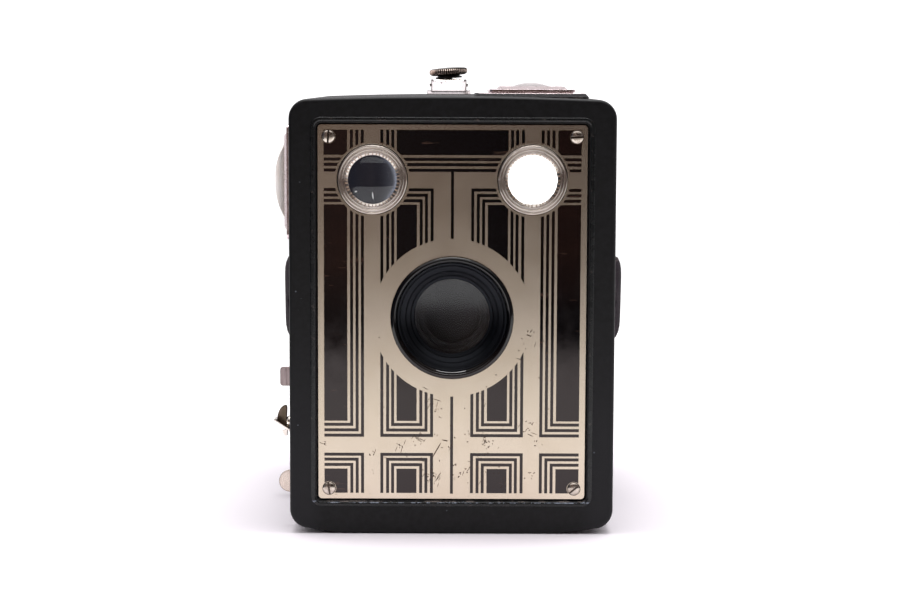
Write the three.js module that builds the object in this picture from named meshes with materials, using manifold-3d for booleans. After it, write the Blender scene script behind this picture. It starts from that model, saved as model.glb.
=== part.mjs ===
// Box camera for roll film: sheet-metal case with leatherette, striped front plate, two reflex
// finders, rotary shutter, film carrier with two spools and a hinged back.
// Millimetres, +Z up. The front faces -Y and the base stands on z = 0, centred on the origin.
import * as THREE from "three";
import { mergeVertices } from "three/addons/utils/BufferGeometryUtils.js";
import Module from "manifold-3d";

const wasm = await Module();
wasm.setup();

// ---- driving dimensions -------------------------------------------------------------------
const BODY_W = 84;
const BODY_H = 113.4;
const BODY_D = 104;
const WALL = 1.2;
const TOP_BOW = 0.75;
const BASE_RISE = 1.3;
const BASE_FLAT = 24; // half width of the flat strip the camera stands on
const CORNER_R = 5;
const FRONT_Y = -BODY_D / 2;
const BACK_Y = BODY_D / 2;
const FRAME_BACK_Y = FRONT_Y + 3.4; // joint between the front frame and the case wrap
const DOOR_Y = BACK_Y - 5.5; // joint between the case wrap and the back
const DOOR_BASE_Z = 1.1;
const EDGE_ROLL = 1.2;
const ARC_STEPS = 3; // facets per quarter circle on small corners
const FIT = 0.3; // clearance between pieces that move or slip together

const PLATE_W = 69.2;
const PLATE_H = 97.1;
const PLATE_Z = 57.65; // centre height of the trim plate
const PLATE_T = 0.8;
const PLATE_FRONT_Y = FRONT_Y + 0.7;
const PLATE_BACK_Y = PLATE_FRONT_Y + PLATE_T;
const PLATE_GAP = 0.35;
const SCREW_X = 31.8;
const SCREW_Z = [103.1, 11.85];
const SCREW_R = 1.73;
const SCREW_TURNS = [1.5, 0.06, 1.72, 0.75]; // slot angles in radians, left then right, top then base

const LENS_Z = 56.5;
const BEZEL_R = 15.9;
const LENS_BORE_R = 14.9;
const GLASS_R = 9.6;

const FINDER_X = 20.55;
const FINDER_Z = 92.1;
const FINDER_R = 9;
const FINDER_BORE_R = 8.3;
const FINDER_CLEAR_R = 6.25;
const MIRROR_DEPTH = 20.5; // from the front plane to the middle of each mirror
const MIRROR_SEAT = 1.1; // along Y, from the middle of a mirror to the floor of its box
const WINDOW_DEPTH = 22.5; // from the front plane to the middle of each window
const WINDOW_SHORT = 22.5;
const WINDOW_LONG = 30;
const WINDOW_T = 0.7;
const TOP_DOME = { rise: 3.1, r: 27 }; // bulged magnifiers, above the seat of their frames
const SIDE_DOME = { rise: 4.6, r: 24 };
const SIDE_BOSS = 0.6; // raised panels under the two windows
const TOP_BOSS = 1.0;

const SPOOL_Y = -3;
const SPOOL_Z = [21.4, 92];
const SPOOL_R = 11.2;
const SPOOL_CORE_R = 3.6;
const SPOOL_HALF = 32.3;
const GATE_W = 57;
const GATE_H = 83;
const FILM_Y = 41;
const CARRIER_X = 34.2;
const ROLLER_R = 3;
const ROLLER_Y = 37.6;
const ROLLER_Z = [11, 102.2];
const CONE_FRONT_Y = -33.9;

const KEY_REACH = 8.2; // from the case side to the tip of the key
const KEY_TALL = 8.8;
const LEVER_PIVOT = [-24, 16.5];
const LEVER_TIP = [-42.6, 12.1];
const LEVER_TIP_R = 2.9;
const LEVER_Y = FRONT_Y + 9;
const TAB_Z = 39.95;
const TAB_H = 5;
const TAB_OUT = 3.1;
const DISC_CENTRE_Z = 38;
const DISC_R = 24.5;
const DISC_Y = LEVER_Y + 2.3;

const LATCH_X = -1.1;
const LATCH_Y = 33;
const LATCH_PIVOT = [26.6, 116.2];
const KNOB_R = 5.65;
const HINGE = [48.2, 4.6];
const HINGE_BARREL_R = 1.5;
const HINGE_PIN_R = 0.8;
const HINGE_ARM_X = [-20, 0, 20];
const HINGE_RELIEF = 0.95; // set-back of the case edge that the swinging door's foot passes

const STRAP_Z = 57.8;
const STRAP_W = 22.5;
const STRAP_T = 1.7;
const STRAP_BULGE = 3.9;
const STRAP_Y = [-27, 23];

// ---- helpers ------------------------------------------------------------------------------
function solid(geometry) {
  const bare = geometry.index ? geometry.toNonIndexed() : geometry.clone();
  bare.deleteAttribute("normal");
  bare.deleteAttribute("uv");
  const merged = mergeVertices(bare, 1e-4);
  return new wasm.Manifold(
    new wasm.Mesh({
      numProp: 3,
      vertProperties: new Float32Array(merged.attributes.position.array),
      triVerts: new Uint32Array(merged.index.array),
    }),
  );
}

function geometryOf(shape) {
  const mesh = shape.getMesh();
  const stride = mesh.numProp;
  const points = new Float32Array(mesh.numVert * 3);
  for (let i = 0; i < mesh.numVert; i++) {
    points.set(mesh.vertProperties.subarray(i * stride, i * stride + 3), i * 3);
  }
  const geometry = new THREE.BufferGeometry();
  geometry.setAttribute("position", new THREE.BufferAttribute(points, 3));
  geometry.setIndex(new THREE.BufferAttribute(new Uint32Array(mesh.triVerts), 1));
  geometry.computeVertexNormals();
  return geometry;
}

function join(...shapes) {
  return shapes.reduce((sum, next) => sum.add(next));
}

function cut(shape, ...tools) {
  return tools.reduce((left, tool) => left.subtract(tool), shape);
}

function box(x0, x1, y0, y1, z0, z1) {
  const geometry = new THREE.BoxGeometry(x1 - x0, y1 - y0, z1 - z0);
  geometry.translate((x0 + x1) / 2, (y0 + y1) / 2, (z0 + z1) / 2);
  return solid(geometry);
}

// A cylinder along one axis, centred on the other two coordinates of `at`, from a to b.
function rod(axis, radius, a, b, at, segments = 16) {
  const geometry = new THREE.CylinderGeometry(radius, radius, b - a, segments);
  if (axis === "x") geometry.rotateZ(-Math.PI / 2);
  if (axis === "z") geometry.rotateX(Math.PI / 2);
  const middle = (a + b) / 2;
  if (axis === "x") geometry.translate(middle, at[0], at[1]);
  if (axis === "y") geometry.translate(at[0], middle, at[1]);
  if (axis === "z") geometry.translate(at[0], at[1], middle);
  return solid(geometry);
}

// Turns a closed profile of [radius, y] points about a line along Y through [x, z].
function turnedY(profile, at, segments = 28) {
  const points = profile.map(([r, y]) => new THREE.Vector2(r, y));
  const geometry = new THREE.LatheGeometry(points, segments);
  geometry.translate(at[0], 0, at[1]);
  const made = solid(geometry);
  return made.volume() < 0 ? solid(flipped(geometry)) : made;
}

function flipped(geometry) {
  const copy = geometry.clone();
  const index = copy.index.array;
  for (let i = 0; i < index.length; i += 3) {
    const held = index[i];
    index[i] = index[i + 1];
    index[i + 1] = held;
  }
  return copy;
}

function polygon(points) {
  return new THREE.Shape(points.map(([a, b]) => new THREE.Vector2(a, b)));
}

// Shape given in (x, z), pulled along Y.
function pullY(shape, y0, y1, bevel = 0) {
  const geometry = new THREE.ExtrudeGeometry(shape, {
    depth: y1 - y0 - 2 * bevel,
    bevelEnabled: bevel > 0,
    bevelThickness: bevel,
    bevelSize: bevel,
    bevelOffset: -bevel,
    bevelSegments: 2,
    curveSegments: ARC_STEPS,
  });
  geometry.rotateX(Math.PI / 2);
  geometry.translate(0, y1 - bevel, 0);
  return solid(geometry);
}

// Shape given in (y, z), pulled along X.
function pullX(shape, x0, x1) {
  const geometry = new THREE.ExtrudeGeometry(shape, {
    depth: x1 - x0,
    bevelEnabled: false,
    curveSegments: ARC_STEPS,
  });
  const turn = new THREE.Matrix4().makeBasis(
    new THREE.Vector3(0, 1, 0),
    new THREE.Vector3(0, 0, 1),
    new THREE.Vector3(1, 0, 0),
  );
  geometry.applyMatrix4(turn);
  geometry.translate(x0, 0, 0);
  return solid(geometry);
}

// Shape given in (x, y), pulled along Z.
function pullZ(shape, z0, z1) {
  const geometry = new THREE.ExtrudeGeometry(shape, {
    depth: z1 - z0,
    bevelEnabled: false,
    curveSegments: ARC_STEPS,
  });
  geometry.translate(0, 0, z0);
  return solid(geometry);
}

function roundedRect(w, h, r, cx = 0, cy = 0) {
  const shape = new THREE.Shape();
  const x = w / 2 - r;
  const y = h / 2 - r;
  shape.absarc(cx + x, cy + y, r, 0, Math.PI / 2, false);
  shape.absarc(cx - x, cy + y, r, Math.PI / 2, Math.PI, false);
  shape.absarc(cx - x, cy - y, r, Math.PI, 1.5 * Math.PI, false);
  shape.absarc(cx + x, cy - y, r, 1.5 * Math.PI, 2 * Math.PI, false);
  return shape;
}

// Outline of the case in (x, z), shrunk by `inset`: bowed top, slightly raised base corners.
function caseOutline(inset, baseZ = 0) {
  const half = BODY_W / 2 - inset;
  const r = CORNER_R - Math.min(inset, 3.5);
  const side = half - r;
  const points = [];
  const steps = 6;
  for (let i = 0; i <= steps; i++) {
    const x = side - (2 * side * i) / steps;
    const bow = TOP_BOW * (x / side) ** 2;
    points.push([x, BODY_H - inset - bow]);
  }
  const corner = (cx, cz, from) => {
    for (let i = 1; i < 3; i++) {
      const a = from + (i * Math.PI) / 6;
      points.push([cx + r * Math.cos(a), cz + r * Math.sin(a)]);
    }
  };
  corner(-side, BODY_H - inset - TOP_BOW - r, Math.PI / 2);
  points.push([-half, BODY_H - inset - TOP_BOW - r]);
  const low = baseZ + inset + BASE_RISE;
  points.push([-half, low + r]);
  corner(-side, low + r, Math.PI);
  const rise = [1, 0.45, 0.12, 0];
  const rests = rise.map((share, i) => [
    side + ((Math.min(BASE_FLAT, side) - side) * i) / 3,
    baseZ + inset + BASE_RISE * share,
  ]);
  rests.forEach(([x, z]) => points.push([-x, z]));
  rests.reverse().forEach(([x, z]) => points.push([x, z]));
  corner(side, low + r, 1.5 * Math.PI);
  points.push([half, low + r]);
  points.push([half, BODY_H - inset - TOP_BOW - r]);
  corner(side, BODY_H - inset - TOP_BOW - r, 0);
  return polygon(points);
}

const MATERIALS = {
  leatherette: { color: 0x17161a, roughness: 0.7, metalness: 0 },
  enamel: { color: 0x101012, roughness: 0.35, metalness: 0.1 },
  nickel: { color: 0xc9c3b8, roughness: 0.3, metalness: 1 },
  champagne: { color: 0xb9a68e, roughness: 0.35, metalness: 1 },
  blackMetal: { color: 0x1c1c1e, roughness: 0.5, metalness: 0.6 },
  glass: { color: 0xdfe8ea, roughness: 0.05, metalness: 0, transparent: true, opacity: 0.45 },
  mirror: { color: 0xe8eaec, roughness: 0.05, metalness: 1 },
  ruby: { color: 0x8a1512, roughness: 0.15, metalness: 0 },
  steel: { color: 0x8f9194, roughness: 0.4, metalness: 1 },
  leather: { color: 0x241e24, roughness: 0.75, metalness: 0 },
};

const camera = new THREE.Group();
camera.name = "box_camera";

function piece(name, kind, shape) {
  const material = new THREE.MeshStandardMaterial(MATERIALS[kind]);
  material.name = kind + "_" + name;
  const mesh = new THREE.Mesh(geometryOf(shape), material);
  mesh.name = name;
  camera.add(mesh);
}

// ---- case, frame and trim -----------------------------------------------------------------
const windowY = FRONT_Y + WINDOW_DEPTH;
const topWindow = { x: FINDER_X, z: BODY_H };
const sideWindowZ = 90.9;

function makeCase() {
  const wrap = cut(
    pullY(caseOutline(0), FRAME_BACK_Y, DOOR_Y),
    pullY(caseOutline(WALL), FRAME_BACK_Y - 1, DOOR_Y + 1),
  );
  const topBoss = pullZ(
    roundedRect(29.8, 37, 2, 20.2, windowY),
    BODY_H - 1.1,
    BODY_H + TOP_BOSS,
  );
  const sideBoss = pullX(
    roundedRect(34, 37, 2, windowY - 0.6, sideWindowZ + 0.4),
    -BODY_W / 2 - SIDE_BOSS,
    -BODY_W / 2 + 0.6,
  );
  const topOpening = box(
    topWindow.x - 8.2,
    topWindow.x + 8.2,
    windowY - 11.6,
    windowY + 11.6,
    BODY_H - 4,
    BODY_H + 4,
  );
  const sideOpening = box(
    -BODY_W / 2 - 3,
    -BODY_W / 2 + 4,
    windowY - 8.2,
    windowY + 8.2,
    sideWindowZ - 11.6,
    sideWindowZ + 11.6,
  );
  const keyHole = rod("x", 3.9, -BODY_W / 2 - 2, -BODY_W / 2 + 3, [SPOOL_Y, SPOOL_Z[0]]);
  const leverSlot = box(-46, -39, LEVER_Y - 0.9, LEVER_Y + 1.9, 8.6, 25.2);
  const tabSlot = box(
    -46,
    -39,
    LEVER_Y - 0.9,
    LEVER_Y + 1.9,
    TAB_Z - TAB_H / 2 - 0.4,
    TAB_Z + TAB_H / 2 + 0.4,
  );
  const hingeRelief = box(-41, 41, DOOR_Y - HINGE_RELIEF, DOOR_Y + 1, -1, 4.4);
  piece(
    "case_wrap",
    "leatherette",
    cut(
      join(wrap, topBoss, sideBoss),
      topOpening,
      sideOpening,
      keyHole,
      leverSlot,
      tabSlot,
      hingeRelief,
    ),
  );
}

function makeFrontFrame() {
  const block = pullY(caseOutline(0), FRONT_Y, FRAME_BACK_Y + 6, EDGE_ROLL);
  const front = cut(block, box(-60, 60, FRAME_BACK_Y, FRAME_BACK_Y + 20, -10, 130));
  const hollow = pullY(caseOutline(WALL + 0.2), PLATE_BACK_Y + WALL, FRAME_BACK_Y + 1);
  const recess = pullY(
    roundedRect(PLATE_W + 2 * PLATE_GAP, PLATE_H + 2 * PLATE_GAP, 1.3, 0, PLATE_Z),
    FRONT_Y - 1,
    PLATE_BACK_Y,
  );
  const bores = [
    rod("y", LENS_BORE_R + 0.3, FRONT_Y - 1, FRAME_BACK_Y + 1, [0, LENS_Z], 28),
    rod("y", FINDER_BORE_R + 0.3, FRONT_Y - 1, FRAME_BACK_Y + 1, [-FINDER_X, FINDER_Z], 20),
    rod("y", FINDER_BORE_R + 0.3, FRONT_Y - 1, FRAME_BACK_Y + 1, [FINDER_X, FINDER_Z], 20),
  ];
  for (const z of SCREW_Z) {
    for (const x of [-SCREW_X, SCREW_X]) {
      bores.push(rod("y", 1.1, FRONT_Y - 1, FRAME_BACK_Y + 1, [x, z], 10));
    }
  }
  piece("front_frame", "enamel", cut(front, hollow, recess, ...bores));
}

function makeTrimPlate() {
  const sheet = pullY(
    roundedRect(PLATE_W, PLATE_H, 1, 0, PLATE_Z),
    PLATE_FRONT_Y,
    PLATE_BACK_Y,
  );
  const bores = [
    rod("y", LENS_BORE_R + 0.1, FRONT_Y - 1, 0, [0, LENS_Z], 28),
    rod("y", FINDER_BORE_R + 0.1, FRONT_Y - 1, 0, [-FINDER_X, FINDER_Z], 20),
    rod("y", FINDER_BORE_R + 0.1, FRONT_Y - 1, 0, [FINDER_X, FINDER_Z], 20),
  ];
  for (const z of SCREW_Z) {
    for (const x of [-SCREW_X, SCREW_X]) {
      bores.push(rod("y", 1, FRONT_Y - 1, 0, [x, z], 12));
    }
  }
  piece("trim_plate", "champagne", cut(sheet, ...bores));
}

function makeTrimScrews() {
  const names = ["top_left", "top_right", "base_left", "base_right"];
  let n = 0;
  for (const z of SCREW_Z) {
    for (const x of [-SCREW_X, SCREW_X]) {
      const profile = [
        [0, PLATE_FRONT_Y - 0.85],
        [0.9, PLATE_FRONT_Y - 0.74],
        [1.45, PLATE_FRONT_Y - 0.45],
        [SCREW_R, PLATE_FRONT_Y - 0.02],
        [0.8, PLATE_FRONT_Y - 0.02],
        [0.8, PLATE_BACK_Y + 1.9],
        [0, PLATE_BACK_Y + 1.9],
      ];
      const slotShape = new THREE.BoxGeometry(4.4, 0.9, 0.5);
      slotShape.rotateY(-SCREW_TURNS[n]);
      slotShape.translate(x, PLATE_FRONT_Y - 0.85, z);
      const screw = cut(turnedY(profile, [x, z], 12), solid(slotShape));
      piece("trim_screw_" + names[n], "nickel", screw);
      n += 1;
    }
  }
}

// ---- taking lens, front part --------------------------------------------------------------
function makeBezel() {
  const back = FRONT_Y + 7.2;
  const seat = FRONT_Y + 4.7;
  const profile = [
    [BEZEL_R, PLATE_FRONT_Y - 0.02],
    [BEZEL_R, FRONT_Y - 0.1],
    [BEZEL_R - 0.5, FRONT_Y - 0.5],
    [14.7, FRONT_Y - 0.4],
    [14.3, FRONT_Y + 0.5],
    [12.9, FRONT_Y + 0.9],
    [12.6, FRONT_Y + 2.1],
    [10.9, FRONT_Y + 2.6],
    [10.6, FRONT_Y + 4.0],
    [GLASS_R, FRONT_Y + 4.2],
    [GLASS_R, seat],
    [10.7, seat],
    [10.7, back],
    [12.2, back],
    [12.2, FRONT_Y + 4.4],
    [LENS_BORE_R, FRONT_Y + 3.0],
    [LENS_BORE_R, PLATE_FRONT_Y - 0.02],
    [BEZEL_R, PLATE_FRONT_Y - 0.02],
  ];
  piece("lens_bezel", "blackMetal", turnedY(profile, [0, LENS_Z], 28));
  const glass = [
    [0, seat - 0.15],
    [4.5, seat - 0.08],
    [9.3, seat + 0.05],
    [10.4, seat + 0.05],
    [10.4, seat + 1.3],
    [0, seat + 1.3],
  ];
  piece("front_glass", "glass", turnedY(glass, [0, LENS_Z], 20));
  const ring = [
    [8.8, seat + 1.35],
    [10.5, seat + 1.35],
    [10.5, seat + 2.3],
    [8.8, seat + 2.3],
    [8.8, seat + 1.35],
  ];
  piece("glass_retainer", "steel", turnedY(ring, [0, LENS_Z], 16));
}

// ---- reflex finders -----------------------------------------------------------------------
function makeFinderFronts(side, x) {
  const bezel = [
    [FINDER_R, PLATE_FRONT_Y - 0.02],
    [FINDER_R, PLATE_FRONT_Y - 0.5],
    [FINDER_R - 0.45, PLATE_FRONT_Y - 0.8],
    [8.0, PLATE_FRONT_Y - 0.75],
    [7.7, PLATE_FRONT_Y - 0.4],
    [7.3, PLATE_FRONT_Y - 0.35],
    [6.9, PLATE_FRONT_Y - 0.6],
    [6.5, PLATE_FRONT_Y - 0.5],
    [FINDER_CLEAR_R, PLATE_FRONT_Y],
    [FINDER_CLEAR_R, PLATE_FRONT_Y + 0.6],
    [7.0, PLATE_FRONT_Y + 0.6],
    [7.0, PLATE_FRONT_Y + 2.6],
    [FINDER_BORE_R, PLATE_FRONT_Y + 2.6],
    [FINDER_BORE_R, PLATE_FRONT_Y - 0.02],
    [FINDER_R, PLATE_FRONT_Y - 0.02],
  ];
  piece("finder_bezel_" + side, "nickel", turnedY(bezel, [x, FINDER_Z], 20));
  const lens = [
    [0, PLATE_FRONT_Y - 0.25],
    [2.6, PLATE_FRONT_Y - 0.12],
    [4.8, PLATE_FRONT_Y + 0.3],
    [6.1, PLATE_FRONT_Y + 0.7],
    [6.8, PLATE_FRONT_Y + 0.7],
    [6.8, PLATE_FRONT_Y + 2.2],
    [0, PLATE_FRONT_Y + 2.2],
  ];
  piece("finder_lens_" + side, "glass", turnedY(lens, [x, FINDER_Z], 16));
}

// Each finder box is drawn looking up (+Z) about an axis through the origin, then turned.
// Its sloping floor lies just behind the mirror, at 45 degrees.
function finderShapes(toWall, mirrorHalf) {
  const front = FRAME_BACK_Y + 0.1;
  const mirrorY = FRONT_Y + MIRROR_DEPTH;
  const deep = mirrorY + 11.7;
  const low = -10.4;
  const t = 0.8;
  const floorIn = mirrorY + MIRROR_SEAT;
  const floorOut = floorIn + t * Math.SQRT2;
  const outer = polygon([
    [front, toWall],
    [front, low],
    [floorOut + low, low],
    [deep, deep - floorOut],
    [deep, toWall],
  ]);
  const inner = polygon([
    [front + t, toWall + 1],
    [front + t, low + t],
    [floorIn + low + t, low + t],
    [deep - t, deep - t - floorIn],
    [deep - t, toWall + 1],
  ]);
  const shell = cut(
    pullX(outer, -11.6, 11.6),
    pullX(inner, -10.8, 10.8),
    rod("y", 6.9, front - 1, front + 2, [0, 0], 32),
  );
  const slab = new THREE.BoxGeometry(2 * mirrorHalf, 0.9, 2 * mirrorHalf);
  slab.rotateX(-Math.PI / 4);
  slab.translate(0, mirrorY, 0);
  return { shell, mirror: solid(slab) };
}

function turnedAboutY(shape, angle, x, z) {
  const turn = new THREE.Matrix4().makeRotationY(angle);
  turn.setPosition(x, 0, z);
  const geometry = geometryOf(shape);
  geometry.applyMatrix4(turn);
  return solid(geometry);
}

function makeFinderBoxes() {
  const up = finderShapes(BODY_H - WALL - FINDER_Z - 1.4, 10.2);
  piece("finder_box_right", "blackMetal", turnedAboutY(up.shell, 0, FINDER_X, FINDER_Z));
  piece("finder_mirror_right", "mirror", turnedAboutY(up.mirror, 0, FINDER_X, FINDER_Z));
  const toSide = finderShapes(BODY_W / 2 - WALL - FINDER_X - 0.7, 10.2);
  const quarter = -Math.PI / 2;
  piece("finder_box_left", "blackMetal", turnedAboutY(toSide.shell, quarter, -FINDER_X, FINDER_Z));
  const leftMirror = turnedAboutY(toSide.mirror, quarter, -FINDER_X, FINDER_Z);
  piece("finder_mirror_left", "mirror", leftMirror);
}

// Window frame and bulged magnifier, drawn lying on z = 0 about the origin.
function windowShapes(wide, long, dome) {
  const plate = pullZ(roundedRect(wide, long, 1.2), 0, WINDOW_T);
  const lip = pullZ(roundedRect(wide - 4.2, long - 4.6, 1.4), 0, WINDOW_T + 0.7);
  const opening = pullZ(roundedRect(wide - 6.4, long - 6.8, 1.6), -4, 4);
  const frame = cut(join(plate, lip), opening);
  const ball = new THREE.SphereGeometry(dome.r, 32, 22);
  ball.translate(0, 0, dome.rise - dome.r);
  const column = pullZ(roundedRect(wide - 7, long - 7.4, 1.4), -1.2, 6);
  return { frame, glass: solid(ball).intersect(column) };
}

function makeWindows() {
  const top = windowShapes(WINDOW_SHORT, WINDOW_LONG, TOP_DOME);
  const topZ = BODY_H + TOP_BOSS + 0.02;
  piece("top_window_frame", "nickel", top.frame.translate([topWindow.x, windowY, topZ]));
  piece("top_window_glass", "glass", top.glass.translate([topWindow.x, windowY, topZ]));
  const side = windowShapes(WINDOW_LONG, WINDOW_SHORT, SIDE_DOME);
  const at = [-BODY_W / 2 - SIDE_BOSS - 0.02, windowY, sideWindowZ];
  piece("side_window_frame", "nickel", side.frame.rotate([0, -90, 0]).translate(at));
  piece("side_window_glass", "glass", side.glass.rotate([0, -90, 0]).translate(at));
}

// ---- shutter ------------------------------------------------------------------------------
function makeShutter() {
  const plateY = LEVER_Y - 1.5;
  const sheet = box(-37, 37, plateY, plateY + 1, 6.5, 77);
  const posts = [];
  for (const x of [-33.5, 33.5]) {
    for (const z of [17, 72]) {
      posts.push(rod("y", 1.6, PLATE_BACK_Y + WALL, plateY + 0.2, [x, z], 12));
    }
  }
  const lensHole = rod("y", 7.4, plateY - 2, plateY + 2, [0, LENS_Z], 32);
  const screwHoles = [-SCREW_X, SCREW_X].map((x) =>
    rod("y", 1.4, plateY - 2, plateY + 2, [x, SCREW_Z[1]], 12),
  );
  const plate = join(sheet, ...posts, tabGuide(plateY));
  piece("shutter_plate", "blackMetal", cut(plate, lensHole, ...screwHoles));

  const discBase = rod("y", DISC_R, DISC_Y, DISC_Y + 0.5, [0, DISC_CENTRE_Z], 30);
  const sector = [];
  for (let i = 0; i <= 8; i++) {
    const a = (60 + (i * 56) / 8) * (Math.PI / 180);
    sector.push([Math.cos(a) * 23, DISC_CENTRE_Z + Math.sin(a) * 23]);
  }
  for (let i = 8; i >= 0; i--) {
    const a = (60 + (i * 56) / 8) * (Math.PI / 180);
    sector.push([Math.cos(a) * 12.5, DISC_CENTRE_Z + Math.sin(a) * 12.5]);
  }
  const slit = pullY(polygon(sector), DISC_Y - 1, DISC_Y + 2);
  const discAxle = rod("y", 1.55, DISC_Y - 1, DISC_Y + 2, [0, DISC_CENTRE_Z], 16);
  const closed = turnAt(slit, 78, 0, DISC_CENTRE_Z);
  piece("shutter_disc", "blackMetal", cut(discBase, closed, discAxle));
  const stud = (far) => [
    [0, plateY + 1.02],
    [1.3, plateY + 1.02],
    [1.3, far],
    [2.4, far],
    [2.4, far + 0.7],
    [0, far + 0.7],
  ];
  piece("disc_stud", "steel", turnedY(stud(DISC_Y + 0.8), [0, DISC_CENTRE_Z], 16));

  piece("shutter_lever", "nickel", leverShape());
  piece("lever_stud", "steel", turnedY(stud(LEVER_Y + 1.3), LEVER_PIVOT, 16));
  makeTimeTab();
}

function turnAt(shape, degrees, x, z) {
  return shape.translate([-x, 0, -z]).rotate([0, -degrees, 0]).translate([x, 0, z]);
}

function leverShape() {
  const [px, pz] = LEVER_PIVOT;
  const [tx, tz] = LEVER_TIP;
  const hub = rod("y", 3.4, LEVER_Y, LEVER_Y + 1, [px, pz], 20);
  const length = Math.hypot(tx - px, tz - pz);
  const arm = new THREE.BoxGeometry(length, 1, 3.4);
  arm.rotateY(-Math.atan2(tz - pz, tx - px));
  arm.translate((tx + px) / 2, LEVER_Y + 0.5, (tz + pz) / 2);
  const tip = rod("y", LEVER_TIP_R, LEVER_Y, LEVER_Y + 1, [tx, tz], 24);
  const tail = box(px - 1.2, px + 1.2, LEVER_Y, LEVER_Y + 1, pz, pz + 11);
  const bore = rod("y", 1.55, LEVER_Y - 1, LEVER_Y + 2, [px, pz], 16);
  return cut(join(hub, solid(arm), tip, tail), bore);
}

function makeTimeTab() {
  const inner = -16.6;
  const tip = -BODY_W / 2 - TAB_OUT;
  const outline = roundedRect(inner - tip, TAB_H, 0.7, (inner + tip) / 2, TAB_Z);
  const blade = pullY(outline, LEVER_Y, LEVER_Y + 1);
  const slot = box(-26.2, -19, LEVER_Y - 1, LEVER_Y + 2, TAB_Z - 0.9, TAB_Z + 0.9);
  piece("time_tab", "nickel", cut(blade, slot));
}

// Shouldered rivet on the shutter plate that the time tab slides along.
function tabGuide(plateY) {
  const profile = [
    [0, plateY + 0.5],
    [0.8, plateY + 0.5],
    [0.8, LEVER_Y + 1.2],
    [1.7, LEVER_Y + 1.2],
    [1.7, LEVER_Y + 1.7],
    [0, LEVER_Y + 1.7],
  ];
  return turnedY(profile, [-25, TAB_Z], 12);
}

// ---- taking lens, rear part ---------------------------------------------------------------
function makeRearLens() {
  const boardY = DISC_Y + 2.2;
  const board = box(-18, 18, boardY, boardY + 0.9, LENS_Z - 16, LENS_Z + 16);
  const feet = [];
  const plateBack = LEVER_Y - 0.5;
  for (const x of [-16, 16]) {
    feet.push(rod("y", 1.3, plateBack + 0.02, boardY + 0.3, [x, LENS_Z + 14.2], 12));
  }
  const stop = rod("y", 4.6, boardY - 1, boardY + 2, [0, LENS_Z], 24);
  piece("lens_board", "blackMetal", cut(join(board, ...feet), stop));
  const y = boardY + 0.92;
  const cell = [
    [8.2, y],
    [9.6, y],
    [9.6, y + 3.4],
    [7.0, y + 3.4],
    [7.0, y + 2.7],
    [8.2, y + 2.7],
    [8.2, y],
  ];
  piece("lens_cell", "nickel", turnedY(cell, [0, LENS_Z], 16));
  const lens = [
    [0, y + 1.1],
    [4, y + 0.85],
    [7.9, y + 0.05],
    [7.9, y + 1.5],
    [4, y + 2.3],
    [0, y + 2.55],
  ];
  piece("meniscus_lens", "glass", turnedY(lens, [0, LENS_Z], 16));
}

// ---- film carrier -------------------------------------------------------------------------
// A four-sided funnel about the lens axis.
function funnel(y0, halfX0, halfZ0, y1, halfX1, halfZ1) {
  const geometry = new THREE.BoxGeometry(2, 2, 2);
  const p = geometry.attributes.position;
  for (let i = 0; i < p.count; i++) {
    const far = p.getY(i) > 0;
    const x = p.getX(i) * (far ? halfX1 : halfX0);
    const z = p.getZ(i) * (far ? halfZ1 : halfZ0);
    p.setXYZ(i, x, far ? y1 : y0, LENS_Z + z);
  }
  return solid(geometry);
}

function makeCone() {
  const t = 0.8;
  const halfX = GATE_W / 2;
  const halfZ = GATE_H / 2;
  const outer = funnel(CONE_FRONT_Y, 5.4, 5.4, FILM_Y - 0.1, halfX + t, halfZ + t);
  const inner = funnel(CONE_FRONT_Y - 1, 4.3, 4.2, FILM_Y + 0.9, halfX + 0.3, halfZ + 0.4);
  piece("light_cone", "blackMetal", cut(outer, inner));
}

function makeCarrier() {
  const parts = [];
  for (const side of [-1, 1]) {
    const x0 = side > 0 ? CARRIER_X : -CARRIER_X - 1;
    const cheek = pullX(
      polygon([
        [-16.5, 9],
        [38, 5.5],
        [FILM_Y + 1.6, 7.5],
        [FILM_Y + 1.6, 105],
        [38, 107],
        [-16.5, 104.5],
      ]),
      x0,
      x0 + 1,
    );
    parts.push(cheek);
  }
  const bulkhead = box(-CARRIER_X - 0.5, CARRIER_X + 0.5, -16.5, -15.5, 35, 78);
  const share = (-15.5 - CONE_FRONT_Y) / (FILM_Y - 0.1 - CONE_FRONT_Y);
  const passZ = 5.4 + (GATE_H / 2 + 0.8 - 5.4) * share + 0.4;
  const pass = box(-13, 13, -18, -14, LENS_Z - passZ, LENS_Z + passZ);
  const holes = [];
  for (const z of SPOOL_Z) holes.push(rod("x", 2.6, -40, 40, [SPOOL_Y, z], 20));
  for (const z of ROLLER_Z) holes.push(rod("x", 1.4, -40, 40, [ROLLER_Y, z], 12));
  piece("film_carrier", "blackMetal", cut(join(...parts, bulkhead), pass, ...holes));
  const gate = cut(
    box(-CARRIER_X + 0.2, CARRIER_X - 0.2, FILM_Y, FILM_Y + 1, 14.2, 99),
    pullY(roundedRect(GATE_W, GATE_H, 0.5, 0, LENS_Z), FILM_Y - 1, FILM_Y + 3),
  );
  const rails = [-1, 1].map((side) => {
    const middle = side * (GATE_W / 2 + 2.4);
    return box(middle - 0.5, middle + 0.5, FILM_Y + 0.9, FILM_Y + 1.5, 14.2, 99);
  });
  piece("film_gate", "nickel", join(gate, ...rails));
}

function makeRollers() {
  const names = ["base", "top"];
  ROLLER_Z.forEach((z, i) => {
    const drum = rod("x", ROLLER_R, -31, 31, [ROLLER_Y, z], 20);
    const axle = rod("x", 1.1, -CARRIER_X - 1.2, CARRIER_X + 1.2, [ROLLER_Y, z], 12);
    piece("film_roller_" + names[i], "steel", join(drum, axle));
  });
}

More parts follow.
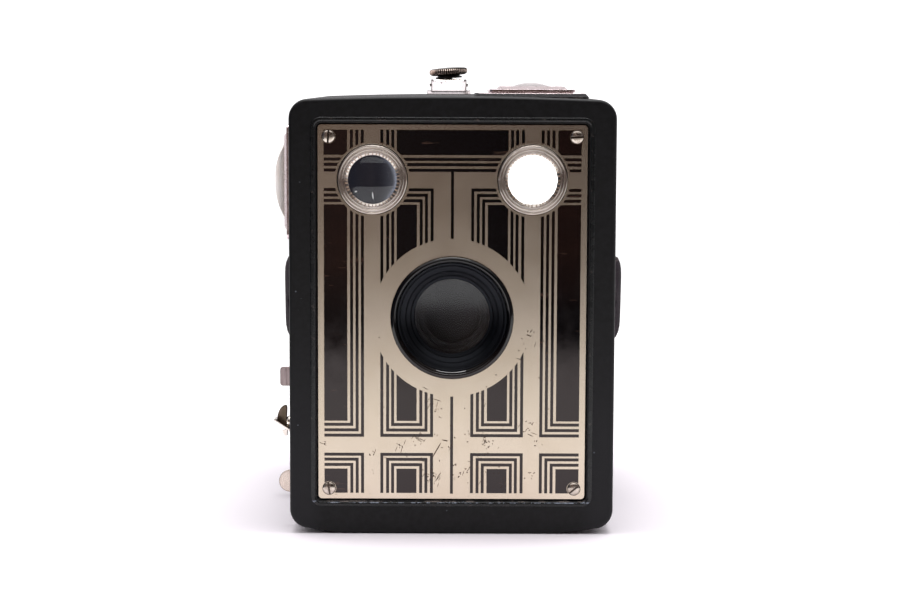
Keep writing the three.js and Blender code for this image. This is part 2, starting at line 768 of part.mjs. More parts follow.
function spoolShape(z) {
  const core = rod("x", SPOOL_CORE_R, -SPOOL_HALF, SPOOL_HALF, [SPOOL_Y, z], 16);
  const flanges = [-1, 1].map((side) => {
    const a = side > 0 ? SPOOL_HALF - 0.8 : -SPOOL_HALF;
    return rod("x", SPOOL_R, a, a + 0.8, [SPOOL_Y, z], 20);
  });
  const eyes = [
    rod("x", 2.3, -40, -SPOOL_HALF + 4.5, [SPOOL_Y, z], 10),
    rod("x", 2.3, SPOOL_HALF - 4.5, 40, [SPOOL_Y, z], 10),
  ];
  const paperSlot = box(-24, 24, SPOOL_Y - 6, SPOOL_Y + 6, z - 0.6, z + 0.6);
  return cut(join(core, ...flanges), ...eyes, paperSlot);
}

// Pin with a flat head outside the carrier's cheek; side is +1 for the right end, -1 for the left.
function pinShape(z, side) {
  const span = (a, b) => (side > 0 ? [a, b] : [-b, -a]);
  const [tipX, endX] = span(SPOOL_HALF - 3, CARRIER_X + 2.2);
  const [headX0, headX1] = span(CARRIER_X + 1.3, CARRIER_X + 2.6);
  return join(
    rod("x", 1.9, tipX, endX, [SPOOL_Y, z]),
    rod("x", 3.9, headX0, headX1, [SPOOL_Y, z]),
  );
}

function makeSpools() {
  piece("takeup_spool", "blackMetal", spoolShape(SPOOL_Z[0]));
  piece("supply_spool", "blackMetal", spoolShape(SPOOL_Z[1]));
  piece("takeup_pin", "steel", pinShape(SPOOL_Z[0], 1));
  piece("supply_pin_right", "steel", pinShape(SPOOL_Z[1], 1));
  piece("supply_pin_left", "steel", pinShape(SPOOL_Z[1], -1));
}

// ---- winding key --------------------------------------------------------------------------
function makeKey() {
  const at = [SPOOL_Y, SPOOL_Z[0]];
  const side = -BODY_W / 2;
  const disc = rod("x", 6.2, side - 0.55, side - 0.02, at, 28);
  const washer = cut(disc, rod("x", 3.9, side - 3, side + 3, at, 24));
  piece("key_washer", "nickel", washer);
  const barrel = rod("x", 3.6, side - 0.6, -CARRIER_X - 1.4, at, 24);
  const collar = rod("x", 4.9, side - 1.4, side - 0.6, at, 24);
  const sleeve = cut(join(barrel, collar), rod("x", 2.1, side - 5, 0, at));
  piece("winder_sleeve", "blackMetal", sleeve);
  piece("winding_key", "nickel", keyShape(side, at));
}

function keyShape(side, at) {
  const tip = side - KEY_REACH;
  const shaft = rod("x", 1.85, side - 4.4, -SPOOL_HALF - 0.4, at, 20);
  const bladeX = -SPOOL_HALF - 1;
  const blade = box(bladeX, bladeX + 4, at[0] - 1.3, at[0] + 1.3, at[1] - 0.45, at[1] + 0.45);
  // S-shaped wing, drawn in (y, z) and trimmed to a rounded outline in (x, z)
  const centre = [];
  const steps = 14;
  for (let i = 0; i <= steps; i++) {
    const t = (2 * i) / steps - 1;
    const swing = 2.6 * Math.sin((t * Math.PI) / 2) * Math.abs(t);
    centre.push([at[0] + swing, at[1] + (t * KEY_TALL) / 2]);
  }
  const half = 0.55;
  const strip = polygon([
    ...centre.map(([y, z]) => [y - half, z]),
    ...centre.reverse().map(([y, z]) => [y + half, z]),
  ]);
  const wing = pullX(strip, tip, side - 2.2);
  const outline = pullY(
    roundedRect(KEY_REACH - 2.2 + 4, KEY_TALL + 0.02, 3.2, (tip + side - 2.2) / 2 + 2, at[1]),
    at[0] - 6,
    at[0] + 6,
  );
  const hub = rod("x", 2.6, side - 4.8, side - 1.9, at, 24);
  return join(wing.intersect(outline), hub, shaft, blade);
}

// ---- back, hinge and latch ----------------------------------------------------------------
function makeDoor() {
  const section = caseOutline(0, DOOR_BASE_Z);
  const block = pullY(section, DOOR_Y - 8, BACK_Y, 2.2);
  const shell = cut(block, box(-60, 60, DOOR_Y - 20, DOOR_Y + 0.15, -10, 130));
  const hollow = pullY(caseOutline(2.2, DOOR_BASE_Z - 1), DOOR_Y - 1, BACK_Y - WALL);
  const lip = cut(
    pullY(caseOutline(WALL + FIT), DOOR_Y - 2.6, DOOR_Y + 1.4),
    pullY(caseOutline(WALL + FIT + 1), DOOR_Y - 4, DOOR_Y + 2),
    box(-60, 60, DOOR_Y - 4, DOOR_Y + 3, -1, 9),
  );
  const ruby = rod("y", 4.2, BACK_Y - 4, BACK_Y + 2, [0, LENS_Z - 24], 18);
  const knuckles = [-1, 1].map((side) =>
    rod("x", HINGE_BARREL_R, side * 10 - 7, side * 10 + 7, HINGE, 12),
  );
  const webs = [-1, 1].map((side) =>
    box(side * 10 - 7, side * 10 + 7, HINGE[0], BACK_Y - 1, HINGE[1] - 0.6, HINGE[1] + 0.6),
  );
  const pinHole = rod("x", HINGE_PIN_R + 0.15, -40, 40, HINGE, 10);
  const notches = HINGE_ARM_X.map((x) =>
    box(x - 2.6, x + 2.6, DOOR_Y - 1, HINGE[0] + 0.9, DOOR_BASE_Z - 1, HINGE[1] - 1),
  );
  const leafed = join(cut(shell, hollow), lip, ...knuckles, ...webs);
  piece("back_door", "leatherette", cut(leafed, ruby, pinHole, ...notches));
  const ring = [
    [3.6, BACK_Y - WALL - 0.5],
    [3.6, BACK_Y + 0.35],
    [4.9, BACK_Y + 0.3],
    [5.4, BACK_Y + 0.02],
    [4.0, BACK_Y + 0.02],
    [4.0, BACK_Y - WALL - 0.5],
    [3.6, BACK_Y - WALL - 0.5],
  ];
  piece("red_window_ring", "nickel", turnedY(ring, [0, LENS_Z - 24], 18));
  const pane = rod("y", 5.6, BACK_Y - WALL - 1.4, BACK_Y - WALL - 0.55, [0, LENS_Z - 24], 18);
  piece("red_window", "ruby", pane);
}

function makeHinge() {
  const leaf = box(-23, 23, DOOR_Y - 9, DOOR_Y - 2.6, WALL + 0.02, WALL + 0.75);
  const arms = HINGE_ARM_X.map((x) => {
    const reach = box(x - 2.2, x + 2.2, DOOR_Y - 3.4, DOOR_Y - 2.6, WALL + 0.02, HINGE[1] + 0.4);
    const bar = box(x - 2.2, x + 2.2, DOOR_Y - 3.4, HINGE[0], HINGE[1] - 0.4, HINGE[1] + 0.4);
    return join(reach, bar, rod("x", HINGE_BARREL_R, x - 2.2, x + 2.2, HINGE, 12));
  });
  const pinHole = rod("x", HINGE_PIN_R + 0.15, -40, 40, HINGE, 10);
  piece("hinge_leaf", "steel", cut(join(leaf, ...arms), pinHole));
  piece("hinge_pin", "steel", rod("x", HINGE_PIN_R, -23.4, 23.4, HINGE, 12));
}

function makeLatch() {
  const z = BODY_H + 0.02;
  const [py, pz] = LATCH_PIVOT;
  const flange = pullZ(roundedRect(12.6, 17, 0.8, LATCH_X, LATCH_Y - 0.4), z, z + 1.1);
  const saddle = box(LATCH_X - 5, LATCH_X + 5, LATCH_Y - 3.6, LATCH_Y + 5, z + 1, z + 3.1);
  const ears = [-1, 1].map((side) => {
    const middle = LATCH_X + side * 4.55;
    return box(middle - 0.45, middle + 0.45, py - 1.6, LATCH_Y - 3, z + 1, pz + 1.5);
  });
  const bore = rod("x", 0.75, -20, 20, LATCH_PIVOT, 12);
  piece("latch_base", "nickel", cut(join(flange, saddle, ...ears), bore));
  piece("latch_pin", "steel", rod("x", 0.6, LATCH_X - 5.6, LATCH_X + 5.6, LATCH_PIVOT, 12));
  const armTop = z + 4.5;
  const armUnder = z + 3.4;
  const hub = rod("x", 1.2, LATCH_X - 3.8, LATCH_X + 3.8, LATCH_PIVOT, 16);
  const bar = box(LATCH_X - 3.8, LATCH_X + 3.8, py, BACK_Y - 0.3, armUnder, armTop);
  const riser = box(LATCH_X - 3.8, LATCH_X + 3.8, py - 0.4, py + 1.2, pz, armTop);
  const hook = box(LATCH_X - 3.8, LATCH_X + 3.8, BACK_Y - 1.3, BACK_Y - 0.3, z + 1.35, armTop);
  const armBore = rod("x", 0.75, -20, 20, LATCH_PIVOT, 12);
  const rivetHole = rod("z", 1.2, armUnder - 1, armTop + 1, [LATCH_X, LATCH_Y], 16);
  piece("latch_arm", "nickel", cut(join(hub, bar, riser, hook), armBore, rivetHole));
  piece("latch_knob", "blackMetal", knobShape(armTop + 0.02));
  const strike = join(
    box(LATCH_X - 3.4, LATCH_X + 3.4, DOOR_Y + 0.6, BACK_Y - 3.2, z - 0.02, z + 0.6),
    box(LATCH_X - 3.4, LATCH_X + 3.4, BACK_Y - 3.9, BACK_Y - 3.2, z - 0.02, z + 1.05),
  );
  piece("door_strike", "nickel", strike.translate([0, 1.4, 0]));
}

function knobShape(z) {
  const teeth = 24;
  const points = [];
  for (let i = 0; i < teeth; i++) {
    for (const [share, r] of [[0, KNOB_R - 0.4], [0.5, KNOB_R]]) {
      const a = ((i + share) / teeth) * 2 * Math.PI;
      points.push([LATCH_X + r * Math.cos(a), LATCH_Y + r * Math.sin(a)]);
    }
  }
  const rim = pullZ(polygon(points), z + 0.7, z + 3.1);
  const crown = rod("z", 4.7, z + 3, z + 3.5, [LATCH_X, LATCH_Y], 20);
  const neck = rod("z", 3.7, z, z + 0.8, [LATCH_X, LATCH_Y], 24);
  const rivet = rod("z", 1.05, z - 1.2, z + 0.5, [LATCH_X, LATCH_Y], 16);
  return join(rim, crown, neck, rivet);
}

// ---- leather side straps ------------------------------------------------------------------
function strapCentre(y) {
  const [a, b] = STRAP_Y;
  const flat = 8;
  const t = THREE.MathUtils.clamp((y - a - flat) / (b - a - 2 * flat), 0, 1);
  return STRAP_BULGE * Math.sin(Math.PI * t) ** 0.8;
}

function makeStraps() {
  const names = { "-1": "left", 1: "right" };
  for (const side of [-1, 1]) {
    const wall = side * (BODY_W / 2 + 0.02);
    const inner = [];
    const outer = [];
    const steps = 16;
    for (let i = 0; i <= steps; i++) {
      const y = STRAP_Y[0] + ((STRAP_Y[1] - STRAP_Y[0]) * i) / steps;
      inner.push([wall + side * strapCentre(y), y]);
      outer.push([wall + side * (strapCentre(y) + STRAP_T), y]);
    }
    const ring = [...inner, ...outer.reverse()];
    const band = pullZ(polygon(ring), STRAP_Z - STRAP_W / 2, STRAP_Z + STRAP_W / 2);
    const trim = pullX(
      roundedRect(STRAP_Y[1] - STRAP_Y[0], STRAP_W, 4, (STRAP_Y[0] + STRAP_Y[1]) / 2, STRAP_Z),
      -60,
      60,
    );
    piece("side_strap_" + names[side], "leather", band.intersect(trim));
    for (const [end, y] of [["front", STRAP_Y[0] + 4], ["rear", STRAP_Y[1] - 4]]) {
      const face = wall + side * (STRAP_T + 0.02);
      const head = rivetHead(face, side, y);
      piece("strap_rivet_" + names[side] + "_" + end, "nickel", head);
    }
  }
}

function rivetHead(face, side, y) {
  const profile = [
    [0, 0],
    [2.3, 0],
    [2.1, 0.45],
    [1.3, 0.8],
    [0, 0.95],
  ].map(([r, h]) => new THREE.Vector2(r, h));
  const geometry = new THREE.LatheGeometry(profile, 16);
  geometry.rotateZ(side > 0 ? -Math.PI / 2 : Math.PI / 2);
  geometry.translate(face, y, STRAP_Z);
  return solid(geometry);
}

makeCase();
makeFrontFrame();
makeTrimPlate();
makeTrimScrews();
makeBezel();
makeFinderFronts("left", -FINDER_X);
makeFinderFronts("right", FINDER_X);
makeFinderBoxes();
makeWindows();
makeShutter();
makeRearLens();
makeCone();
makeCarrier();
makeRollers();
makeSpools();
makeKey();
makeDoor();
makeHinge();
makeLatch();
makeStraps();

export default camera;
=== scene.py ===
"""Looks of a roll-film box camera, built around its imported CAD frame.

Metres, +Z up, the lens looks along -Y and +X is to the right seen from the front.
"""
import math
import random

import bmesh
import bpy
from mathutils import Matrix, Vector


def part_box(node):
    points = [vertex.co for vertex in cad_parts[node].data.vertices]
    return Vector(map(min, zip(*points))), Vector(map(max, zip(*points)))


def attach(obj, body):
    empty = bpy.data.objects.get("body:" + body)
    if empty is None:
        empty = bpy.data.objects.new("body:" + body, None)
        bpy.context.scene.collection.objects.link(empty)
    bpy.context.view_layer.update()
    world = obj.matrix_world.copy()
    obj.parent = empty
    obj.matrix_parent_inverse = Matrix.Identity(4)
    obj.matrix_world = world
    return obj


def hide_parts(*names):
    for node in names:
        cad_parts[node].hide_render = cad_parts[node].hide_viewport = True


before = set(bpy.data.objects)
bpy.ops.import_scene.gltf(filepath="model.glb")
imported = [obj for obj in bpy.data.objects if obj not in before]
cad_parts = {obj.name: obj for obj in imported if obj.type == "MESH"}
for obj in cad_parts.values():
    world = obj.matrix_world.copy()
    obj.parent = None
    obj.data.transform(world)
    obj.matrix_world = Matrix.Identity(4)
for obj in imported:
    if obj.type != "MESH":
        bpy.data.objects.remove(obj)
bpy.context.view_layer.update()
MM = 0.001
TAU = 2 * math.pi
random.seed(7)

# ---- places and sizes, from the frame -----------------------------------------------------
FRAME_LO, FRAME_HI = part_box("front_frame")
PLATE_LO, PLATE_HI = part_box("trim_plate")
DOOR_LO, DOOR_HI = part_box("back_door")
WRAP_LO, WRAP_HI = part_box("case_wrap")
HALF_W = FRAME_HI.x
HEIGHT = FRAME_HI.z
FRONT_Y = FRAME_LO.y
FRAME_BACK_Y = FRAME_HI.y
SEAM_Y = WRAP_HI.y
BACK_Y = DOOR_HI.y
PLATE_Y = PLATE_LO.y
DOOR_BASE = DOOR_LO.z
TOP_BOW = 0.75 * MM
BASE_RISE = 1.3 * MM
BASE_FLAT = 24 * MM
CORNER_R = 5 * MM
CORNER_MIN = 1.5 * MM
CORNER_STEPS = 9
WALL = 1.2 * MM
SEAT_DROP = 0.3 * MM  # the window frames stand this far off the raised panels


def middle(node):
    low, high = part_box(node)
    return (low + high) / 2


LENS = middle("lens_bezel")
FINDERS = {side: middle("finder_lens_" + side) for side in ("left", "right")}


# ---- mesh helpers -------------------------------------------------------------------------
def mesh_object(name, verts, faces):
    mesh = bpy.data.meshes.new(name)
    mesh.from_pydata([tuple(v) for v in verts], [], faces)
    mesh.validate()
    made = bpy.data.objects.new(name, mesh)
    bpy.context.scene.collection.objects.link(made)
    tidy_normals(made)
    return made


def tidy_normals(made):
    """Merges points that coincide and turns every face outwards."""
    work = bmesh.new()
    work.from_mesh(made.data)
    bmesh.ops.remove_doubles(work, verts=work.verts, dist=1e-7)
    bmesh.ops.recalc_face_normals(work, faces=work.faces)
    work.to_mesh(made.data)
    work.free()


def loft(name, rings, close=False):
    """Skins a list of equal rings of points; the ends are capped, or joined if close is set."""
    count = len(rings[0])
    verts = [p for ring in rings for p in ring]
    faces = []
    pairs = len(rings) if close else len(rings) - 1
    for i in range(pairs):
        a, b = i * count, ((i + 1) % len(rings)) * count
        for k in range(count):
            n = (k + 1) % count
            faces.append((a + k, a + n, b + n, b + k))
    if not close:
        faces.append(tuple(range(count))[::-1])
        faces.append(tuple(range(len(verts) - count, len(verts))))
    return mesh_object(name, verts, faces)


def stack(name, axis, *levels):
    """Skins (ring, distance) levels along an axis: y takes rings in (x, z), x in (y, z), z in (x, y)."""
    spot = {
        "y": lambda u, v, w: (u, w, v),
        "x": lambda u, v, w: (w, u, v),
        "z": lambda u, v, w: (u, v, w),
    }[axis]
    return loft(name, [[spot(u, v, w) for u, v in ring] for ring, w in levels])


def prism(name, ring, axis, a, b):
    """One outline pulled from a to b along the axis."""
    return stack(name, axis, (ring, a), (ring, b))


def lathe(name, profile, centre, axis="-y", segments=96):
    """Turns a profile of (radius, height) about a line along the axis through centre."""
    verts, rows = [], []
    for r, h in profile:
        if r < 1e-7:
            rows.append([len(verts)])
            verts.append((0, 0, h))
            continue
        rows.append([len(verts) + k for k in range(segments)])
        for k in range(segments):
            a = TAU * k / segments
            verts.append((r * math.cos(a), r * math.sin(a), h))
    faces = []
    for low, high in zip(rows, rows[1:]):
        for k in range(segments):
            n = (k + 1) % segments
            if len(low) == 1:
                faces.append((low[0], high[n], high[k]))
            elif len(high) == 1:
                faces.append((low[k], low[n], high[0]))
            else:
                faces.append((low[k], low[n], high[n], high[k]))
    turn = {
        "z": Matrix.Identity(3),
        "y": Matrix(((1, 0, 0), (0, 0, 1), (0, -1, 0))),
        "-y": Matrix(((1, 0, 0), (0, 0, -1), (0, 1, 0))),
        "x": Matrix(((0, 0, 1), (1, 0, 0), (0, 1, 0))),
        "-x": Matrix(((0, 0, -1), (-1, 0, 0), (0, 1, 0))),
    }[axis]
    return mesh_object(name, [turn @ Vector(v) + Vector(centre) for v in verts], faces)


def rounded(profile, radius, steps=5):
    """Closed or open profile with its corners rounded; a corner too tight gets a smaller arc."""
    closed = (Vector(profile[0]) - Vector(profile[-1])).length < 1e-9
    points = [Vector(p) for p in profile]
    if closed:
        points = points[:-1]
    count = len(points)
    out = []
    for i, p in enumerate(points):
        if not closed and i in (0, count - 1):
            out.append(tuple(p))
            continue
        to_a = points[i - 1] - p
        to_b = points[(i + 1) % count] - p
        r = min(radius, 0.45 * to_a.length, 0.45 * to_b.length)
        start, end = p + to_a.normalized() * r, p + to_b.normalized() * r
        for k in range(steps + 1):
            t = k / steps
            q = start * (1 - t) ** 2 + p * 2 * t * (1 - t) + end * t * t
            out.append((q.x, q.y))
    if closed:
        out.append(out[0])
    return out


def rounded_loop(ring, radius, steps):
    """Ring of points, with no repeated last point, with every corner rounded."""
    return rounded(ring + ring[:1], radius, steps)[:-1]


def mm(profile):
    """Points given in millimetres, in metres."""
    return [(a * MM, b * MM) for a, b in profile]


def rounded_rect(w, h, r, cx=0.0, cy=0.0, steps=8):
    ring = []
    for qx, qy, start in ((1, 1, 0), (-1, 1, 1), (-1, -1, 2), (1, -1, 3)):
        for k in range(steps + 1):
            a = (start + k / steps) * TAU / 4
            ring.append((
                cx + qx * (w / 2 - r) + r * math.cos(a),
                cy + qy * (h / 2 - r) + r * math.sin(a),
            ))
    return ring


def circle(r, cx=0.0, cy=0.0, count=96):
    return [(cx + r * math.cos(TAU * k / count), cy + r * math.sin(TAU * k / count)) for k in range(count)]


def case_outline(inset=0.0, base=0.0):
    """Outline of the case in (x, z): bowed top, base lifting gently towards its corners."""
    half = HALF_W - inset
    r = CORNER_R - min(inset, CORNER_R - CORNER_MIN)
    side = half - r
    top = HEIGHT - inset
    shoulder = top - TOP_BOW - r
    hip = base + inset + BASE_RISE + r
    ring = []
    for k in range(25):
        x = side - 2 * side * k / 24
        ring.append((x, top - TOP_BOW * (x / side) ** 2))

    def arc(cx, cz, start):
        for k in range(1, CORNER_STEPS):
            a = start + TAU / 4 * k / CORNER_STEPS
            ring.append((cx + r * math.cos(a), cz + r * math.sin(a)))

    def wall(x, z0, z1):
        ring.extend((x, z0 * (1 - k / 12) + z1 * k / 12) for k in range(13))

    arc(-side, shoulder, TAU / 4)
    wall(-half, shoulder, hip)
    arc(-side, hip, TAU / 2)
    for k in range(33):
        x = -side + 2 * side * k / 32
        over = max(0.0, (abs(x) - BASE_FLAT) / (side - BASE_FLAT))
        ring.append((x, base + inset + BASE_RISE * over * over))
    arc(side, hip, 0.75 * TAU)
    wall(half, hip, shoulder)
    arc(side, shoulder, 0)
    return ring


def ring_at(ring, y):
    return [(x, y, z) for x, z in ring]


def case_ring(y, inset=0.0, base=0.0):
    return ring_at(case_outline(inset, base), y)


def rolled_rings(first, edge, roll, count, base=0.0):
    """Case rings that turn in over a rolled edge, from y first towards y edge."""
    turn = 1 if first > edge else -1
    rings = []
    for k in range(count + 1):
        a = TAU / 4 * k / count
        rings.append(case_ring(edge + turn * roll * (1 - math.sin(a)), roll * (1 - math.cos(a)), base))
    return rings


def apply_modifiers(made):
    graph = bpy.context.evaluated_depsgraph_get()
    mesh = bpy.data.meshes.new_from_object(made.evaluated_get(graph))
    made.modifiers.clear()
    old = made.data
    made.data = mesh
    bpy.data.meshes.remove(old)
    return made


def carve(made, *cutters, operation="DIFFERENCE"):
    """Cuts the cutters away, or adds them with UNION, and deletes them."""
    for cutter in cutters:
        step = made.modifiers.new("carve", "BOOLEAN")
        step.operation = operation
        step.solver = "EXACT"
        step.object = cutter
    apply_modifiers(made)
    for cutter in cutters:
        bpy.data.objects.remove(cutter)
    return made


def soften(made, width, segments=3, angle=40):
    step = made.modifiers.new("soften", "BEVEL")
    step.width = width
    step.segments = segments
    step.limit_method = "ANGLE"
    step.angle_limit = math.radians(angle)
    return apply_modifiers(made)


def smooth(made, angle=32, weigh=True):
    """Smooth shading that keeps creases sharp and large flat faces flat."""
    for polygon in made.data.polygons:
        polygon.use_smooth = True
    made.data.set_sharp_from_angle(angle=math.radians(angle))
    step = made.modifiers.new("flat_faces", "WEIGHTED_NORMAL")
    step.keep_sharp = True
    step.weight = 90
    return apply_modifiers(made) if weigh else made


def block(name, x0, x1, y0, y1, z0, z1):
    return prism(name, [(x0, y0), (x1, y0), (x1, y1), (x0, y1)], "z", z0, z1)


def rod(name, axis, r, a, b, u, v, count=48):
    return prism(name, circle(r, u, v, count), axis, a, b)


def join(made, *others):
    work = bmesh.new()
    for source in (made, *others):
        work.from_mesh(source.data)
    work.to_mesh(made.data)
    work.free()
    for source in others:
        bpy.data.objects.remove(source)
    return made


def place(made, body, slot_name, material, *nodes, angle=32):
    """Shades a finished piece, puts it on its body, and lets it stand for CAD nodes."""
    smooth(made, angle)
    made.data.materials.clear()
    made.data.materials.append(material)
    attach(made, body)
    if nodes:
        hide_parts(*nodes)
    return made


# ---- material helpers ---------------------------------------------------------------------
class Graph:
    """Short calls for the shader node chains that the finishes and the world share."""

    def __init__(self, tree, coords):
        self.tree = tree
        self.coords = self.add("ShaderNodeTexCoord").outputs[coords]

    def add(self, kind, **settings):
        node = self.tree.nodes.new(kind)
        for key, value in settings.items():
            setattr(node, key, value)
        return node

    def feed(self, socket, value):
        if isinstance(value, bpy.types.NodeSocket):
            self.tree.links.new(value, socket)
        else:
            socket.default_value = value

    def axes(self):
        node = self.add("ShaderNodeSeparateXYZ")
        self.feed(node.inputs[0], self.coords)
        return node.outputs

    def span(self, value, low, high, to_low=0.0, to_high=1.0, kind="LINEAR"):
        node = self.add("ShaderNodeMapRange", interpolation_type=kind)
        self.feed(node.inputs["Value"], value)
        for key, number in (("From Min", low), ("From Max", high), ("To Min", to_low), ("To Max", to_high)):
            node.inputs[key].default_value = number
        return node.outputs["Result"]

    def mix(self, share, a, b):
        node = self.add("ShaderNodeMix", data_type="RGBA")
        self.feed(node.inputs["Factor"], share)
        self.feed(node.inputs["A"], a)
        self.feed(node.inputs["B"], b)
        return node.outputs["Result"]


class Nodes(Graph):
    """A Principled material. Distances are in millimetres, noise and cell scales per metre."""

    def __init__(self, name, **sockets):
        self.material = bpy.data.materials.new(name)
        self.material.use_nodes = True
        super().__init__(self.material.node_tree, "Object")
        self.shader = self.tree.nodes["Principled BSDF"]
        self.colour = None
        self.wire(**sockets)

    def wire(self, **sockets):
        for socket, value in sockets.items():
            self.feed(self.shader.inputs[socket.replace("_", " ")], value)
        return self.material

    def paint(self, share, *tint):
        """Covers the colour so far with a display colour, by the share of each spot."""
        self.colour = self.mix(share, self.colour, rgb(*tint))

    def stretch(self, x, y, z):
        node = self.add("ShaderNodeMapping")
        node.inputs["Scale"].default_value = (x, y, z)
        self.feed(node.inputs["Vector"], self.coords)
        return node.outputs["Vector"]

    def noise(self, scale, detail=3.0, rough=0.55, vector=None):
        node = self.add("ShaderNodeTexNoise")
        self.feed(node.inputs["Vector"], vector or self.coords)
        node.inputs["Scale"].default_value = scale
        node.inputs["Detail"].default_value = detail
        node.inputs["Roughness"].default_value = rough
        return node.outputs["Fac"]

    def cells(self, scale, feature="F1"):
        node = self.add("ShaderNodeTexVoronoi", feature=feature)
        self.feed(node.inputs["Vector"], self.coords)
        node.inputs["Scale"].default_value = scale
        return node.outputs["Distance"]

    def patch(self, noise, *limits):
        """Blotches: noise of (scale, detail, roughness, vector) cut between two limits."""
        return self.span(self.noise(*noise), *limits)

    def along(self, axis, low, high, *ends):
        return self.span(self.axes()[axis], low * MM, high * MM, *ends)

    def beside(self, low, high):
        """0 to 1 between two distances to either side of the middle plane."""
        return self.span(self.math("ABSOLUTE", self.axes()["X"]), low * MM, high * MM)

    def math(self, operation, a, b=0.0):
        node = self.add("ShaderNodeMath", operation=operation)
        self.feed(node.inputs[0], a)
        self.feed(node.inputs[1], b)
        return node.outputs[0]

    def times(self, a, b):
        return self.math("MULTIPLY", a, b)

    def far(self, u, v):
        return self.math("SQRT", self.math("ADD", self.times(u, u), self.times(v, v)))

    def edge(self, radius, low=0.86, high=0.985):
        """1 on outer edges within the radius, 0 on flat stretches."""
        bevel = self.add("ShaderNodeBevel", samples=6)
        bevel.inputs["Radius"].default_value = radius * MM
        dot = self.add("ShaderNodeVectorMath", operation="DOT_PRODUCT")
        self.feed(dot.inputs[0], bevel.outputs["Normal"])
        self.feed(dot.inputs[1], self.add("ShaderNodeNewGeometry").outputs["Normal"])
        return self.span(dot.outputs["Value"], low, high, 1.0, 0.0)

    def bump(self, height, strength, distance, under=None):
        node = self.add("ShaderNodeBump")
        node.inputs["Strength"].default_value = strength
        node.inputs["Distance"].default_value = distance * MM
        self.feed(node.inputs["Height"], height)
        if under is not None:
            self.feed(node.inputs["Normal"], under)
        return node.outputs["Normal"]


def rgb(red, green, blue):
    """Linear colour from 0-255 display values."""
    def linear(c):
        c /= 255
        return c / 12.92 if c <= 0.04045 else ((c + 0.055) / 1.055) ** 2.4
    return (linear(red), linear(green), linear(blue), 1.0)


def leatherette():
    m = Nodes("leatherette", Specular_IOR_Level=0.34)
    pebble = m.cells(1150, "SMOOTH_F1")
    fine = m.noise(2600, 3)
    wear = m.times(m.edge(0.9), m.patch((420, 5, 0.7), 0.52, 0.66))
    scuff = m.patch((130, 6, 0.75), 0.66, 0.74)
    m.colour = m.mix(m.patch((60, 4), 0.35, 0.7), rgb(23, 21, 23), rgb(32, 29, 32))
    m.paint(m.span(pebble, 0.25, 0.6), 17, 15, 17)
    m.paint(m.times(scuff, 0.35), 78, 72, 74)
    m.paint(m.times(wear, 0.7), 120, 108, 104)
    rough = m.span(fine, 0.3, 0.7, 0.6, 0.8)
    grain = m.bump(pebble, 0.55, 0.16)
    normal = m.bump(fine, 0.25, 0.03, grain)
    return m.wire(Base_Color=m.colour, Roughness=rough, Normal=normal)


def bead_enamel():
    m = Nodes("bead_enamel", Specular_IOR_Level=0.42)
    chips = m.patch((500, 4, 0.7), 0.6, 0.66)
    m.colour = m.mix(m.patch((90, 3), 0.35, 0.7), rgb(11, 14, 15), rgb(17, 20, 21))
    m.paint(m.times(chips, 0.3), 96, 88, 84)
    # Painted highlight with wear specks: a broken bluish-white line along the bottom of the bead, where light
    # catches its worn lower edge.
    lip = m.times(m.along("Z", 8.75, 8.6), m.along("Z", 8.05, 8.25))
    broken = m.patch((560, 5, 0.75), 0.48, 0.6, 0.0, 0.75)
    m.paint(m.times(lip, broken), 176, 186, 204)
    return m.wire(Base_Color=m.colour, Roughness=m.patch((600, 3), 0.3, 0.7, 0.2, 0.34))


def front_enamel():
    m = Nodes("front_enamel", Specular_IOR_Level=0.24)
    grain = m.noise(1500, 4, 0.6)
    pebble = m.cells(900, "SMOOTH_F1")
    # Painted highlight with wear: a bright broken line on the lower lip of the opening, where light catches
    # its worn edge.
    foot = m.times(m.along("Z", 9.1, 8.6), m.along("Z", 7.4, 7.9))
    along = m.patch((260, 4, 0.7), 0.5, 0.58)
    lip_wear_and_glint = m.times(m.times(foot, along), m.edge(0.5, 0.9, 0.99))
    rim_wear = m.times(m.edge(0.8, 0.8, 0.95), m.patch((700, 5, 0.75), 0.58, 0.64))
    rim_wear = m.times(rim_wear, m.patch((55, 2), 0.5, 0.62))
    speck = m.times(m.span(m.cells(300), 0.07, 0.05), m.patch((90, 2), 0.5, 0.58))
    mottle = m.noise(650, 4, 0.65)
    # Painted light: the side strips of the frame lighter and bluer towards the bottom, as the floor below
    # lights them.
    floor_lit_sides = m.times(m.beside(33, 37), m.along("Z", 62, 26))
    m.colour = m.mix(m.patch((45, 3), 0.35, 0.7), rgb(8, 8, 9), rgb(14, 14, 15))
    m.paint(floor_lit_sides, 24, 24, 27)
    m.paint(m.span(mottle, 0.38, 0.62, 0.0, 0.45), 25, 25, 28)
    m.paint(m.times(speck, 0.5), 120, 126, 136)
    m.paint(m.times(rim_wear, 0.6), 104, 88, 88)
    # Paints the lower-lip highlight and wear.
    m.paint(m.times(lip_wear_and_glint, 0.9), 205, 190, 180)
    rough = m.span(grain, 0.3, 0.7, 0.4, 0.52)
    normal = m.bump(grain, 0.3, 0.04, m.bump(pebble, 0.3, 0.06))
    return m.wire(Base_Color=m.colour, Roughness=rough, Normal=normal)


def plate_metal():
    m = Nodes("plate_metal", Metallic=1.0)
    down = m.span(m.axes()["Z"], PLATE_LO.z, PLATE_HI.z, 1.0, 0.0)
    brushed = m.noise(1400, 4, 0.6)
    stain = m.patch((70, 5, 0.65), 0.42, 0.7)
    freckles = m.patch((620, 3, 0.6), 0.68, 0.72)
    marks = m.times(freckles, m.span(down, 0.5, 0.75, 0.0, 0.35))
    m.colour = m.mix(stain, rgb(211, 198, 180), rgb(205, 191, 171))
    m.paint(m.times(brushed, 0.06), 182, 162, 146)
    m.paint(marks, 92, 68, 52)
    rough = m.patch((150, 2), 0.3, 0.7, 0.25, 0.27)
    return m.wire(Base_Color=m.colour, Roughness=rough, Normal=m.bump(m.noise(90, 2), 0.02, 0.01))


